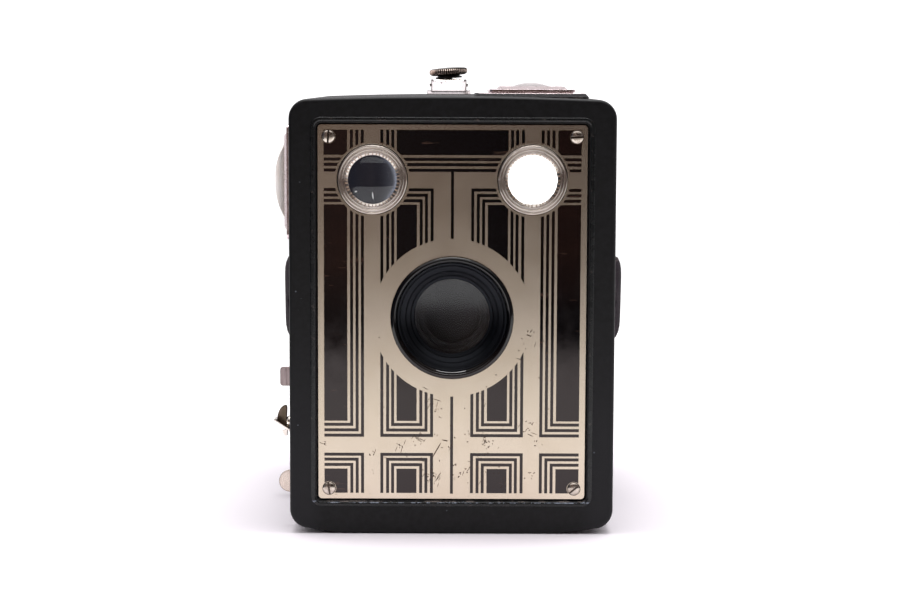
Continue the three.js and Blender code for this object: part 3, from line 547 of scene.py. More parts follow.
def wear_brown():
    m = Nodes("wear_brown", Specular_IOR_Level=0.25)
    m.colour = m.mix(m.patch((900, 3), 0.35, 0.65), rgb(50, 33, 22), rgb(84, 60, 40))
    return m.wire(Base_Color=m.colour, Roughness=m.patch((700, 2), 0.3, 0.7, 0.4, 0.6))


def plate_enamel():
    m = Nodes("plate_enamel", Specular_IOR_Level=0.52, Specular_Tint=(1.0, 0.86, 0.84, 1.0))
    upper = m.times(m.beside(20, 27), m.along("Z", 58, 74))
    cloud = m.span(m.noise(70, 5, 0.6, m.stretch(1, 1, 2.2)), 0.35, 0.7, 0.55, 1.0)
    m.colour = m.mix(m.times(upper, cloud), rgb(6, 7, 9), rgb(33, 20, 16))
    scuff = m.span(m.noise(420, 3, 0.6, m.stretch(0.25, 1, 1.6)), 0.66, 0.72)
    m.paint(m.times(scuff, 0.22), 120, 92, 78)
    rough = m.patch((240, 4), 0.35, 0.7, 0.05, 0.13)
    return m.wire(Base_Color=m.colour, Roughness=rough, Normal=m.bump(m.noise(900, 3), 0.04, 0.01))


def nickel(name="nickel", tint=(214, 206, 196), dull=0.22, grime=0.5):
    m = Nodes(name, Metallic=1.0)
    stain = m.patch((160, 6, 0.7), 0.42, 0.72)
    pits = m.patch((1500, 3, 0.55), 0.66, 0.72)
    m.colour = m.mix(m.times(stain, grime), rgb(*tint), rgb(150, 132, 112))
    m.paint(m.times(pits, grime), 82, 62, 48)
    rough = m.math("ADD", m.patch((420, 4), 0.3, 0.7, dull - 0.06, dull + 0.08), m.times(stain, 0.1))
    return m.wire(Base_Color=m.colour, Roughness=rough, Normal=m.bump(m.noise(700, 4), 0.12, 0.02))


def black_metal():
    m = Nodes("black_metal", Specular_IOR_Level=0.5)
    wear = m.times(m.edge(0.4, 0.8, 0.97), m.patch((500, 5), 0.45, 0.62))
    m.colour = m.mix(m.patch((90, 4), 0.35, 0.7), rgb(22, 22, 24), rgb(33, 32, 34))
    m.paint(m.times(wear, 0.5), 128, 116, 104)
    rough = m.patch((600, 4), 0.3, 0.7, 0.32, 0.54)
    return m.wire(Base_Color=m.colour, Roughness=rough, Normal=m.bump(m.noise(1300, 4), 0.2, 0.02))


def bezel_black():
    m = Nodes("bezel_black", Specular_IOR_Level=0.5)
    # Painted reflection: the lower part of the bezel tinted brown, standing for the brown plate reflected in
    # it.
    foot = m.span(m.axes()["Z"], LENS.z - 4 * MM, LENS.z - 12 * MM)
    wear = m.times(m.edge(0.35, 0.8, 0.97), m.patch((380, 6, 0.7), 0.5, 0.62))
    dust = m.patch((1700, 2, 0.4), 0.73, 0.77)
    m.colour = m.mix(m.patch((120, 4), 0.35, 0.7), rgb(4, 4, 6), rgb(8, 8, 10))
    m.paint(m.times(foot, 0.4), 34, 22, 16)
    m.paint(m.times(dust, 0.25), 80, 80, 88)
    m.paint(m.times(wear, 0.4), 104, 80, 68)
    rough = m.patch((520, 4), 0.3, 0.7, 0.04, 0.13)
    return m.wire(Base_Color=m.colour, Roughness=rough, Normal=m.bump(m.noise(1100, 4), 0.04, 0.01))


def funnel_black():
    m = Nodes("funnel_black", Specular_IOR_Level=0.22, Specular_Tint=(0.8, 0.86, 1.0, 1.0))
    dust = m.patch((1500, 2, 0.4), 0.72, 0.78)
    m.colour = m.mix(m.patch((160, 4), 0.35, 0.7), rgb(4, 5, 7), rgb(8, 8, 11))
    m.paint(m.times(dust, 0.25), 70, 72, 80)
    rough = m.patch((520, 4), 0.3, 0.7, 0.32, 0.46)
    return m.wire(Base_Color=m.colour, Roughness=rough, Normal=m.bump(m.noise(1300, 4), 0.1, 0.02))


def satin_nickel(name, tint, dull, streak=0.0, metal=1.0):
    """Worn plating with a dark outline on its edges, fine scratches and upright brushing."""
    m = Nodes(name, Metallic=metal)
    upright = m.noise(900, 3, 0.6, m.stretch(1.4, 1.4, 0.12))
    stain = m.patch((190, 5, 0.7), 0.45, 0.7)
    scratch = m.span(m.noise(620, 1, 0.3, m.stretch(1, 0.3, 0.25)), 0.7, 0.715)
    m.colour = m.mix(m.times(stain, 0.3), rgb(*tint), rgb(176, 152, 140))
    m.paint(m.span(upright, 0.38, 0.62, streak, 0.0), 88, 74, 78)
    m.paint(m.times(scratch, 0.55), 84, 66, 62)
    m.paint(m.times(m.edge(0.6, 0.84, 0.995), 0.85), 66, 54, 50)
    rough = m.span(upright, 0.3, 0.7, dull - 0.05, dull + 0.08)
    return m.wire(Base_Color=m.colour, Roughness=rough, Normal=m.bump(upright, 0.06, 0.01))


def screw_nickel(front_y):
    """Plating that is darker in its slots and rims, deeper than the crown."""
    m = Nodes("screw_nickel", Metallic=1.0)
    depth = m.span(m.axes()["Y"], front_y + 0.34 * MM, front_y + 0.46 * MM)
    stain = m.patch((480, 5, 0.7), 0.42, 0.66)
    m.colour = m.mix(m.times(stain, 0.55), rgb(214, 204, 192), rgb(120, 96, 76))
    m.paint(m.times(depth, 0.9), 40, 28, 22)
    return m.wire(Base_Color=m.colour, Roughness=m.span(stain, 0.0, 1.0, 0.2, 0.36),
                  Normal=m.bump(m.noise(1500, 4), 0.14, 0.02))


def steel():
    m = Nodes("steel", Metallic=1.0)
    drawn = m.noise(420, 4, 0.6, m.stretch(0.15, 1, 1))
    rust = m.patch((120, 6, 0.7), 0.58, 0.75)
    m.colour = m.mix(m.times(rust, 0.6), rgb(150, 148, 146), rgb(96, 66, 46))
    rough = m.span(drawn, 0.3, 0.7, 0.26, 0.46)
    return m.wire(Base_Color=m.colour, Roughness=rough, Normal=m.bump(drawn, 0.15, 0.02))


def clear_glass(name="clear_glass", tint=(250, 252, 252), index=1.5, dull=0.0, swell=0.01):
    m = Nodes(name, IOR=index, Transmission_Weight=1.0)
    smear = m.noise(90, 5, 0.65, m.stretch(1, 1, 0.4))
    m.colour = m.mix(m.span(smear, 0.4, 0.75), rgb(*tint), rgb(*(c - 12 for c in tint)))
    rough = m.patch((260, 6, 0.7), 0.5, 0.78, dull, dull + 0.04)
    return m.wire(Base_Color=m.colour, Roughness=rough, Normal=m.bump(smear, 0.02, swell))


def dome_glass(name, pale, deep):
    """Magnifier glass: clear looked through square on, milky along its flanks."""
    m = Nodes(name)
    facing = m.add("ShaderNodeLayerWeight").outputs["Facing"]
    clear = m.span(facing, 0.4, 0.62, 1.0, 0.12)
    haze = m.span(m.noise(240, 5, 0.65, m.stretch(1, 1, 0.5)), 0.35, 0.7)
    m.colour = m.mix(haze, rgb(*pale), rgb(*deep))
    # Painted shade: a grey outline where the dome's flanks are seen edge on.
    m.paint(m.span(facing, 0.93, 0.995, 0.0, 0.75), 138, 132, 136)
    m.colour = m.mix(m.span(facing, 0.3, 0.6), rgb(252, 252, 252), m.colour)
    rough = m.patch((420, 4), 0.3, 0.7, 0.02, 0.1)
    index = m.span(facing, 0.8, 0.97, 1.45, 1.06)
    return m.wire(Base_Color=m.colour, Roughness=rough, Transmission_Weight=clear, IOR=index)


# Painted highlights on the left eye lens, standing for two lamp reflections, mm: middle from the lens middle,
# half width, half height, lean.
PAINTED_GLINTS = ((0.1, -4.1, 0.13, 0.95, 0.1), (-4.2, -3.1, 0.34, 0.16, -0.4))


def finder_glass():
    """Eye lens with a few small painted highlights low on its face, standing for lamp reflections."""
    m = Nodes("finder_glass", IOR=1.5)
    place = m.axes()
    marks = 0.0
    for du, dv, wide, tall, lean in PAINTED_GLINTS:
        u = m.math("SUBTRACT", place["X"], FINDERS["left"].x + du * MM)
        v = m.math("SUBTRACT", place["Z"], FINDERS["left"].z + dv * MM)
        u = m.math("ADD", u, m.times(v, lean))
        u, v = m.math("DIVIDE", u, wide * MM), m.math("DIVIDE", v, tall * MM)
        far = m.math("ADD", m.times(u, u), m.times(v, v))
        marks = m.math("MAXIMUM", m.span(far, 1.0, 0.6), marks)
    smear = m.noise(90, 5, 0.65, m.stretch(1, 1, 0.4))
    clean = m.mix(m.span(smear, 0.4, 0.75), rgb(250, 252, 252), rgb(238, 240, 242))
    # The painted highlights are white, rough and opaque.
    return m.wire(Base_Color=m.mix(marks, clean, rgb(255, 255, 255)),
                  Roughness=m.span(marks, 0.0, 1.0, 0.01, 0.5),
                  Transmission_Weight=m.span(marks, 0.0, 1.0, 1.0, 0.0),
                  Normal=m.bump(smear, 0.02, 0.01))


def mirror_glass(name="mirror_glass", silver=(244, 245, 246)):
    m = Nodes(name, Metallic=1.0)
    tarnish = m.patch((150, 6, 0.7), 0.4, 0.75)
    m.colour = m.mix(m.times(tarnish, 0.35), rgb(*silver), rgb(*(c * 0.6 for c in silver)))
    return m.wire(Base_Color=m.colour, Roughness=m.span(tarnish, 0.0, 1.0, 0.01, 0.1))


def ruby():
    m = Nodes("ruby_pane", IOR=1.49, Transmission_Weight=0.6)
    m.colour = m.mix(m.patch((200, 4), 0.35, 0.7), rgb(150, 10, 8), rgb(104, 4, 6))
    return m.wire(Base_Color=m.colour, Roughness=m.patch((500, 3), 0.3, 0.7, 0.06, 0.16))


def strap_leather():
    m = Nodes("strap_leather", Specular_IOR_Level=0.03)
    pores = m.cells(1500, "SMOOTH_F1")
    crease = m.noise(260, 6, 0.7, m.stretch(0.5, 1.8, 0.5))
    worn = m.times(m.edge(0.7), m.patch((300, 4), 0.35, 0.6))
    m.colour = m.mix(m.patch((70, 5), 0.35, 0.7), rgb(33, 23, 31), rgb(46, 35, 43))
    m.paint(m.span(pores, 0.3, 0.65), 20, 14, 19)
    m.paint(m.times(worn, 0.45), 130, 112, 108)
    normal = m.bump(pores, 0.4, 0.1, m.bump(crease, 0.35, 0.12))
    return m.wire(Base_Color=m.colour, Roughness=m.span(crease, 0.3, 0.7, 0.62, 0.82), Normal=normal)


def thread():
    m = Nodes("waxed_thread", Specular_IOR_Level=0.3)
    twist = m.noise(5200, 2)
    m.colour = m.mix(twist, rgb(34, 28, 30), rgb(52, 45, 46))
    return m.wire(Base_Color=m.colour, Roughness=0.7, Normal=m.bump(twist, 0.4, 0.03))


def knob_metal():
    """Tarnished metal, dark in the grooves of the rim and bright on its ridges."""
    m = Nodes("knob_metal", Metallic=1.0)
    centre = middle("latch_knob")
    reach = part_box("latch_knob")[1].x - centre.x
    place = m.axes()
    u = m.math("SUBTRACT", place["X"], centre.x)
    v = m.math("SUBTRACT", place["Y"], centre.y)
    ridge = m.span(m.far(u, v), reach - 0.32 * MM, reach - 0.12 * MM)
    tarnish = m.patch((260, 6, 0.7), 0.38, 0.68)
    m.colour = m.mix(tarnish, rgb(70, 60, 50), rgb(40, 38, 30))
    m.paint(m.times(ridge, m.span(tarnish, 0.0, 1.0, 1.0, 0.75)), 246, 226, 214)
    return m.wire(Base_Color=m.colour, Roughness=m.span(tarnish, 0.0, 1.0, 0.28, 0.5))


def floor_white():
    m = Nodes("floor_paper", Specular_IOR_Level=0.05)
    place = m.axes()
    # Painted shadow tint: the floor near the object is faintly lavender so its contact shadow turns lavender;
    # farther off it is white.
    away = m.span(m.far(place["X"], place["Y"]), 80 * MM, 200 * MM)
    near = m.mix(m.noise(14, 3), rgb(253, 248, 253), rgb(250, 245, 251))
    m.colour = m.mix(away, near, rgb(255, 255, 255))
    return m.wire(Base_Color=m.colour, Roughness=0.9, Normal=m.bump(m.noise(900, 3), 0.05, 0.05))


MATS = {
    "leatherette": leatherette(),
    "enamel": front_enamel(),
    "bead": bead_enamel(),
    "plate": plate_metal(),
    "stripe": plate_enamel(),
    "wear": wear_brown(),
    "nickel": nickel(),
    "bright_nickel": nickel("bright_nickel", (228, 220, 212), 0.16, 0.35),
    "black": black_metal(),
    "bezel": bezel_black(),
    "funnel": funnel_black(),
    "steel": steel(),
    "glass": clear_glass(),
    "front_glass": clear_glass("front_glass", (206, 208, 212), 1.42, 0.12, 0.001),
    "finder_glass": finder_glass(),
    "top_dome": dome_glass("top_dome_glass", (150, 138, 138), (128, 118, 118)),
    "side_dome": dome_glass("side_dome_glass", (252, 244, 238), (232, 214, 200)),
    "rim": nickel("rim_nickel", (232, 216, 218), 0.2, 0.35),
    "latch": satin_nickel("latch_plating", (252, 244, 246), 0.3, 0.0, 0.55),
    "lever": satin_nickel("lever_plating", (226, 212, 200), 0.26, 0.16, 0.9),
    "tab": satin_nickel("tab_plating", (184, 168, 168), 0.3, 0.5, 1.0),
    # Dark copy of the key's plating for its top leaf: painted shade for the shaded reflection on that leaf.
    "shaded_key_plating": satin_nickel("shaded_key_plating", (92, 82, 66), 0.3, 0.3, 1.0),
    "screw": screw_nickel(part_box("trim_screw_top_left")[0].y),
    "crimp": nickel("crimp_nickel", (208, 184, 166), 0.34, 0.65),
    "mirror": mirror_glass(),
    # Left finder mirror: a darker, bluer copy of the silvering, painted shade for the dim view through that
    # finder.
    "shaded_mirror": mirror_glass("shaded_mirror", (138, 141, 152)),
    "ruby": ruby(),
    "strap": strap_leather(),
    "thread": thread(),
    "knob": knob_metal(),
}


# ---- case ---------------------------------------------------------------------------------
def centre_and_size(node):
    low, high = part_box(node)
    return (low + high) / 2, high - low


WINDOW_HOLE = (16.4 * MM, 23.2 * MM, 1.5 * MM)
SLOT_CENTRE_Z = 16.9 * MM
SLOT_LONG = 16.6 * MM
HINGE_RELIEF = (41 * MM, 0.95 * MM, 4.4 * MM)  # half width, depth, height


def boss(name, axis, wide, long, u, v, slope, low, high):
    """Raised panel: a rounded prism whose top edge slopes in like pressed sheet."""
    big = rounded_rect(wide, long, 2.6 * MM, u, v)
    small = rounded_rect(wide - slope, long - 1.6 * MM, 2 * MM, u, v)
    return stack(name, axis, (big, low), (big, low + (high - low) * 0.55), (small, high))


def build_case():
    skin = loft("case_skin", [
        case_ring(FRAME_BACK_Y), case_ring(SEAM_Y), case_ring(SEAM_Y, WALL), case_ring(FRAME_BACK_Y, WALL),
    ], close=True)
    top, top_size = centre_and_size("top_window_frame")
    side, side_size = centre_and_size("side_window_frame")
    carve(
        skin,
        boss("top_boss", "z", top_size.x + 7.3 * MM, top_size.y + 7 * MM, top.x - 0.35 * MM, top.y,
             1.6 * MM, HEIGHT - WALL, WRAP_HI.z - SEAT_DROP),
        boss("side_boss", "x", side_size.y + 11.5 * MM, side_size.z + 7 * MM, side.y - 0.6 * MM,
             side.z + 0.4 * MM, 1.5 * MM, -HALF_W + WALL, WRAP_LO.x + SEAT_DROP),
        operation="UNION",
    )
    lever, lever_size = centre_and_size("shutter_lever")
    tab, tab_size = centre_and_size("time_tab")
    key = middle("key_washer")
    slot_w = lever_size.y + 1.8 * MM
    lever_slot = rounded_rect(slot_w, SLOT_LONG, 1.3 * MM, lever.y, SLOT_CENTRE_Z)
    tab_slot = rounded_rect(slot_w, tab_size.z + 0.8 * MM, 1.0 * MM, lever.y, tab.z)
    half, deep, tall = HINGE_RELIEF
    reach = (-HALF_W - 4 * MM, -HALF_W + 4 * MM)
    carve(
        skin,
        prism("top_hole", rounded_rect(*WINDOW_HOLE, top.x, top.y), "z", HEIGHT - 4 * MM, HEIGHT + 4 * MM),
        prism("side_hole", rounded_rect(*WINDOW_HOLE, side.y, side.z), "x", *reach),
        prism("lever_slot", lever_slot, "x", *reach),
        prism("tab_slot", tab_slot, "x", *reach),
        rod("key_hole", "x", 3.9 * MM, *reach, key.y, key.z),
        block("hinge_relief", -half, half, SEAM_Y - deep, SEAM_Y + MM, -MM, tall),
    )
    soften(skin, 0.22 * MM, 2, 50)
    place(skin, "case", "leatherette", MATS["leatherette"], "case_wrap", angle=40)


def build_front_frame():
    rings = [case_ring(FRAME_BACK_Y, 0.12 * MM), case_ring(FRAME_BACK_Y - 0.15 * MM)]
    rings += rolled_rings(FRAME_BACK_Y, FRONT_Y, 0.9 * MM, 6)
    body = loft("front_panel", rings)
    hollow = prism("h", case_outline(WALL + 0.2 * MM), "y", PLATE_HI.y + WALL, FRAME_BACK_Y + MM)
    recess = plate_rect(0.4 * MM, 1.4 * MM)
    through = (FRONT_Y - MM, FRAME_BACK_Y + MM)
    bores = [rod("b", "y", 15.2 * MM, *through, LENS.x, LENS.z)]
    bores += [rod("b", "y", 8.6 * MM, *through, eye.x, eye.z) for eye in FINDERS.values()]
    carve(body, hollow, prism("r", recess, "y", FRONT_Y - MM, PLATE_HI.y), *bores)
    soften(body, 0.3 * MM, 3, 50)
    place(body, "case", "black_enamel", MATS["enamel"], "front_frame", angle=35)
    build_rolled_lip()


def plate_rect(grow, radius, steps=8):
    """Rounded outline of the trim plate, grown on every side."""
    w, h = PLATE_HI.x - PLATE_LO.x + 2 * grow, PLATE_HI.z - PLATE_LO.z + 2 * grow
    return rounded_rect(w, h, radius, 0, (PLATE_LO.z + PLATE_HI.z) / 2, steps)


def build_rolled_lip():
    """The thin rolled bead round the opening that the trim plate sits in."""
    rings = []
    for k in range(12):
        a = TAU * k / 12
        out, up = 0.55 * MM * math.cos(a), 0.2 * MM * math.sin(a)
        rings.append(ring_at(plate_rect(1.3 * MM + out, 2.2 * MM + out, 10), FRONT_Y - 0.02 * MM - up))
    bead = loft("opening_bead", rings, close=True)
    place(bead, "case", "black_enamel", MATS["bead"], angle=60)


# ---- trim plate ---------------------------------------------------------------------------
def build_plate():
    sheet = prism("trim_sheet", plate_rect(0, MM), "y", PLATE_Y, PLATE_HI.y)
    through = (PLATE_Y - MM, PLATE_HI.y + MM)
    bores = [rod("b", "y", 15 * MM, *through, LENS.x, LENS.z, 128)]
    bores += [rod("b", "y", 9.1 * MM, *through, eye.x, eye.z, 128) for eye in FINDERS.values()]
    carve(sheet, *bores)
    soften(sheet, 0.12 * MM, 2, 50)
    place(sheet, "case", "plate_metal", MATS["plate"], "trim_plate")


STRIPE_W = 0.78 * MM
# Distances from the middle of the plate to the upright bands and panels of its right half.
OUTER_LINES = [25.9 * MM, 24.5 * MM, 23.1 * MM]
INNER_OUT = [15.3 * MM, 16.6 * MM, 18.1 * MM]
INNER_IN = [8.0 * MM, 6.65 * MM, 5.2 * MM]
PANEL_OUT = (27.0 * MM, 33.0 * MM)
PANEL_IN = (9.1 * MM, 14.3 * MM)


def stripe(points):
    """Outline of a band of constant width along an axis-aligned open path, with mitred corners."""
    half = STRIPE_W / 2
    left, right = [], []
    for i, p in enumerate(points):
        before = (Vector(p) - Vector(points[i - 1])).normalized() if i else None
        after = (Vector(points[i + 1]) - Vector(p)).normalized() if i + 1 < len(points) else None
        a = before or after
        b = after or before
        na, nb = Vector((-a.y, a.x)), Vector((-b.y, b.x))
        offset = na * half if (na - nb).length < 1e-6 else (na + nb) * half
        left.append(tuple(Vector(p) + offset))
        right.append(tuple(Vector(p) - offset))
    return left + right[::-1]


def panel(x0, x1, z0, z1):
    return [(x0, z0), (x1, z0), (x1, z1), (x0, z1)]


def stripe_outlines():
    """The enamelled bands and panels of the right half, in (x, z)."""
    top = PLATE_HI.z - 1.4 * MM
    foot = PLATE_LO.z + 1.55 * MM
    rows = {
        "top": [PLATE_HI.z - d * MM for d in (8.9, 10.25, 11.7)],
        "under": [PLATE_HI.z - d * MM for d in (16.7, 18.1, 19.5)],
        "low": [PLATE_LO.z + d * MM for d in (19.55, 18.1, 16.7)],
        "base": [PLATE_LO.z + d * MM for d in (9.0, 10.4, 11.7)],
    }
    panel_top, panel_low = rows["under"][2] - 1.0 * MM, rows["low"][0] + 0.95 * MM
    base_top = rows["base"][0] - 1.07 * MM
    row_low = rows["top"][0] + 1.1 * MM
    shapes = [
        panel(*PANEL_OUT, row_low, top),
        panel(*PANEL_OUT, panel_low, panel_top),
        panel(*PANEL_OUT, foot, base_top),
        panel(*PANEL_IN, panel_low, panel_top),
        panel(*PANEL_IN, foot, base_top),
    ]
    edge = PANEL_OUT[1]
    for k, (line, inner, outer) in enumerate(zip(OUTER_LINES, INNER_IN, INNER_OUT)):
        low, base, turn = rows["low"][k], rows["base"][k], rows["under"][2 - k]
        shapes.append(stripe([(line, top), (line, low), (edge, low)]))
        shapes.append(stripe([(line, foot), (line, base), (edge, base)]))
        for name in ("top", "under"):
            shapes.append(stripe([(PANEL_OUT[0], rows[name][k]), (edge, rows[name][k])]))
        shapes.append(stripe([(13.5 * MM, turn), (inner, turn), (inner, low), (outer, low), (outer, top)]))
        shapes.append(stripe([(inner, foot), (inner, base), (outer, base), (outer, foot)]))
    return shapes, rows, top, row_low


def build_stripes():
    shapes, rows, top, row_low = stripe_outlines()
    both = shapes + [[(-x, z) for x, z in reversed(shape)] for shape in shapes]
    both.append(panel(-PANEL_IN[1], PANEL_IN[1], row_low, top))
    for z in rows["top"]:
        both.append(stripe([(-14 * MM, z), (14 * MM, z)]))
    both.append(panel(-0.38 * MM, 0.38 * MM, PLATE_LO.z + 1.4 * MM, rows["top"][2] - 0.38 * MM))
    bands = join(*(prism("band", shape, "y", PLATE_Y - 0.07 * MM, PLATE_Y + 0.05 * MM) for shape in both))
    bands.name = "enamel_bands"
    reach = (PLATE_Y - MM, PLATE_Y + MM)
    rings = [rod("k", "y", 20.5 * MM, *reach, LENS.x, LENS.z, 160)]
    rings += [rod("k", "y", 9.7 * MM, *reach, eye.x, eye.z, 128) for eye in FINDERS.values()]
    for corner in SCREW_TURNS:
        spot = middle("trim_screw_" + corner)
        rings.append(rod("k", "y", 1.85 * MM, *reach, spot.x, spot.z, 40))
    carve(bands, *rings)
    place(bands, "case", "black_enamel", MATS["stripe"], angle=30)


# Worn places on the plate: x, z, spread (mm), number of marks, share of long scratches.
WEAR_PLACES = [
    (-12.6, 23.0, 1.3, 7, 0.7), (-8.6, 25.0, 1.7, 9, 0.6), (-5.4, 15.6, 3.0, 34, 0.35),
    (-21.5, 20.8, 1.6, 7, 0.1), (-33.0, 24.0, 0.9, 4, 0.2), (3.5, 17.0, 2.6, 11, 0.3),
    (8.7, 24.0, 2.2, 17, 0.15), (19.5, 28.0, 1.9, 13, 0.3), (22.0, 23.7, 1.2, 4, 0.3),
    (19.7, 16.0, 1.9, 7, 0.1), (13.0, 15.0, 2.4, 6, 0.3), (-4.6, 33.0, 3.0, 8, 0.4),
    (0.0, 24.0, 13.0, 34, 0.1), (18.5, 50.0, 5.0, 14, 0.2), (0.0, 40.0, 16.0, 16, 0.1),
]


def mark(x, z, long, wide, lean):
    """A small irregular chip or scratch lying on the plate."""
    ring = []
    for k in range(7):
        a = TAU * k / 7
        u = long * math.cos(a) * random.uniform(0.75, 1)
        v = wide * math.sin(a) * random.uniform(0.6, 1)
        across, up = math.cos(lean), math.sin(lean)
        ring.append((x + u * across - v * up, z + u * up + v * across))
    return prism("mark", ring, "y", PLATE_Y - 0.078 * MM, PLATE_Y + 0.02 * MM)


def build_wear():
    marks = [
        mark(-3.9 * MM, 21.9 * MM, 2.9 * MM, 0.2 * MM, math.radians(61)),
        mark(-1.7 * MM, 24.5 * MM, 0.9 * MM, 0.18 * MM, math.radians(-12)),
    ]
    for x, z, spread, count, lines in WEAR_PLACES:
        for _ in range(count):
            px = x * MM + random.gauss(0, spread * 0.6) * MM
            pz = z * MM + random.gauss(0, spread * 0.6) * MM
            room = PLATE_LO.z + 1.2 * MM < pz < PLATE_HI.z and abs(px) < PLATE_HI.x - MM
            if not room or math.hypot(px - LENS.x, pz - LENS.z) < 16.6 * MM:
                continue
            if random.random() < lines:
                size = random.uniform(0.5, 1.5) * MM, random.uniform(0.06, 0.1) * MM
                lean = math.radians(random.choice((68, 72, -20, 50)) + random.uniform(-10, 10))
            else:
                size = random.uniform(0.12, 0.4) * MM, random.uniform(0.09, 0.18) * MM
                lean = random.uniform(0, TAU)
            marks.append(mark(px, pz, *size, lean))
    wear = join(*marks)
    wear.name = "plate_wear"
    place(wear, "case", "plate_metal", MATS["wear"], angle=30)


# Degrees that each slot is turned from level.
SCREW_TURNS = {"top_left": 86, "top_right": 3, "base_left": 98, "base_right": 42}


def build_screws():
    for name, turn in SCREW_TURNS.items():
        node = "trim_screw_" + name
        low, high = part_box(node)
        centre = (low + high) / 2
        r = (high.x - low.x) / 2
        tall = PLATE_Y - low.y
        dome = [(0, tall)]
        for k in range(1, 9):
            a = TAU / 4 * k / 8
            dome.append((r * math.sin(a), 0.22 * tall + 0.78 * tall * math.cos(a)))
        dome += [(r, 0.02 * MM), (0.8 * MM, 0.02 * MM), (0.8 * MM, -2.5 * MM), (0, -2.5 * MM)]
        head = lathe("screw_" + name, dome, (centre.x, PLATE_Y, centre.z), "-y", 48)
        cutter = block("slot", -3 * MM, 3 * MM, low.y - MM, low.y + 0.48 * MM, -0.24 * MM, 0.24 * MM)
        lean = Matrix.Rotation(-math.radians(turn), 4, "Y")
        cutter.data.transform(Matrix.Translation((centre.x, 0, centre.z)) @ lean)
        carve(head, cutter)
        soften(head, 0.05 * MM, 2, 45)
        place(head, "case", "nickel", MATS["screw"], node, angle=35)


# ---- lens and finders ---------------------------------------------------------------------
def at_front(profile):
    """Profile given as (radius, depth behind the front plane) in mm, for a lathe along -Y."""
    return mm((r, -d) for r, d in profile)


BEZEL_LIP = [
    (15.9, 0.68), (15.9, 0.15), (15.6, -0.25), (15.1, -0.48), (14.7, -0.4), (14.45, -0.05),
    (14.4, 0.6), (14.0, 1.0), (14.0, 2.4), (14.9, 2.4), (14.9, 0.68), (15.9, 0.68),
]
BEZEL_FUNNEL = [
    (14.3, 0.9), (13.7, 1.05), (13.45, 1.35), (13.3, 1.75), (12.9, 1.9), (12.1, 2.35), (11.8, 2.75),
    (11.3, 3.1), (10.75, 3.5), (10.55, 3.95), (10.0, 4.15), (9.75, 4.3), (9.75, 4.95), (10.9, 4.95),
    (10.9, 7.2), (12.2, 7.2), (12.2, 4.4), (13.9, 3.0), (14.3, 1.4), (14.3, 0.9),
]
PANE_R, PANE_DISH = 10.35, 0.5
PANE_FACE, PANE_BACK = 4.98, 5.75  # behind the front plane


def build_lens():
    centre = (LENS.x, FRONT_Y, LENS.z)
    ring = lathe("bezel_ring", rounded(at_front(BEZEL_LIP), 0.2 * MM, 4), centre, "-y", 144)
    place(ring, "case", "black_metal", MATS["bezel"], "lens_bezel", angle=60)
    cone = lathe("bezel_funnel", rounded(at_front(BEZEL_FUNNEL), 0.16 * MM, 3), centre, "-y", 144)
    place(cone, "case", "black_metal", MATS["funnel"], angle=60)
    radii = [PANE_R * k / 9 for k in range(10)]
    dish = [(r, PANE_DISH * (1 - (r / PANE_R) ** 2)) for r in radii]
    face, back = ([(r, depth + sink) for r, sink in dish] for depth in (PANE_FACE, PANE_BACK))
    pane = lathe("front_pane", at_front(face + back[::-1]), centre, "-y", 96)
    place(pane, "case", "glass", MATS["front_glass"], "front_glass", angle=30)


FINDER_RING = [
    (8.92, -0.5), (8.92, 0.45), (8.7, 0.7), (8.42, 0.7), (8.3, 0.48), (8.14, 0.48), (8.0, 0.68),
    (7.7, 0.7), (7.56, 0.44), (7.4, 0.42), (7.26, 0.6), (7.04, 0.6), (6.92, 0.3), (6.82, 0.05),
    (6.5, -0.1), (6.25, -0.25), (6.25, -0.6), (7.0, -0.6), (7.0, -2.6), (8.3, -2.6), (8.3, -0.5),
    (8.92, -0.5),
]
CRIMP = [(0, 0.16), (0.13, 0.12), (0.2, 0.0), (0.2, -0.2), (0, -0.2)]
CRIMPS, CRIMP_CIRCLE = 44, 6.5 * MM
EYE_R, EYE_TOP, EYE_DROP = 6.1, 0.25, 0.95


def build_finder(side):
    spot = FINDERS[side]
    centre = (spot.x, PLATE_Y, spot.z)
    ring = lathe("finder_ring_" + side, rounded(mm(FINDER_RING), 0.06 * MM, 3), centre, "-y", 128)
    place(ring, "case", "nickel", MATS["bright_nickel"], "finder_bezel_" + side, angle=60)
    radii = [EYE_R * k / 8 for k in range(9)]
    lens = [(r, EYE_TOP - EYE_DROP * (r / EYE_R) ** 2) for r in radii]
    lens += [(6.8, -0.7), (6.8, -2.2), (0, -2.2)]
    eye = lathe("finder_eye_" + side, mm(lens), centre, "-y", 96)
    place(eye, "case", "glass", MATS["finder_glass"], "finder_lens_" + side, angle=30)
    crimps = []
    for k in range(CRIMPS):
        a = TAU * k / CRIMPS + random.uniform(-0.02, 0.02)
        at = (spot.x + CRIMP_CIRCLE * math.cos(a), PLATE_Y - 0.02 * MM, spot.z + CRIMP_CIRCLE * math.sin(a))
        crimps.append(lathe("c", mm(CRIMP), at, "-y", 8))
    teeth = join(*crimps)
    teeth.name = "finder_crimp_" + side
    place(teeth, "case", "nickel", MATS["crimp"], angle=60)


# Name, turn from lying flat, width, length, rise and radius of the bulge.
WINDOWS = (
    ("top", Matrix.Identity(4), 22.5 * MM, 30 * MM, 2.5 * MM, 32 * MM),
    ("side", Matrix.Rotation(-TAU / 4, 4, "Y"), 30 * MM, 22.5 * MM, 4.6 * MM, 24 * MM),
)


def slab(name, wide, long, r, *levels):
    """Rounded rectangle lofted through (inset, height) levels."""
    def ring(inset):
        return rounded_rect(wide - 2 * inset, long - 2 * inset, r - min(inset, r / 2))
    return stack(name, "z", *((ring(inset), z) for inset, z in levels))


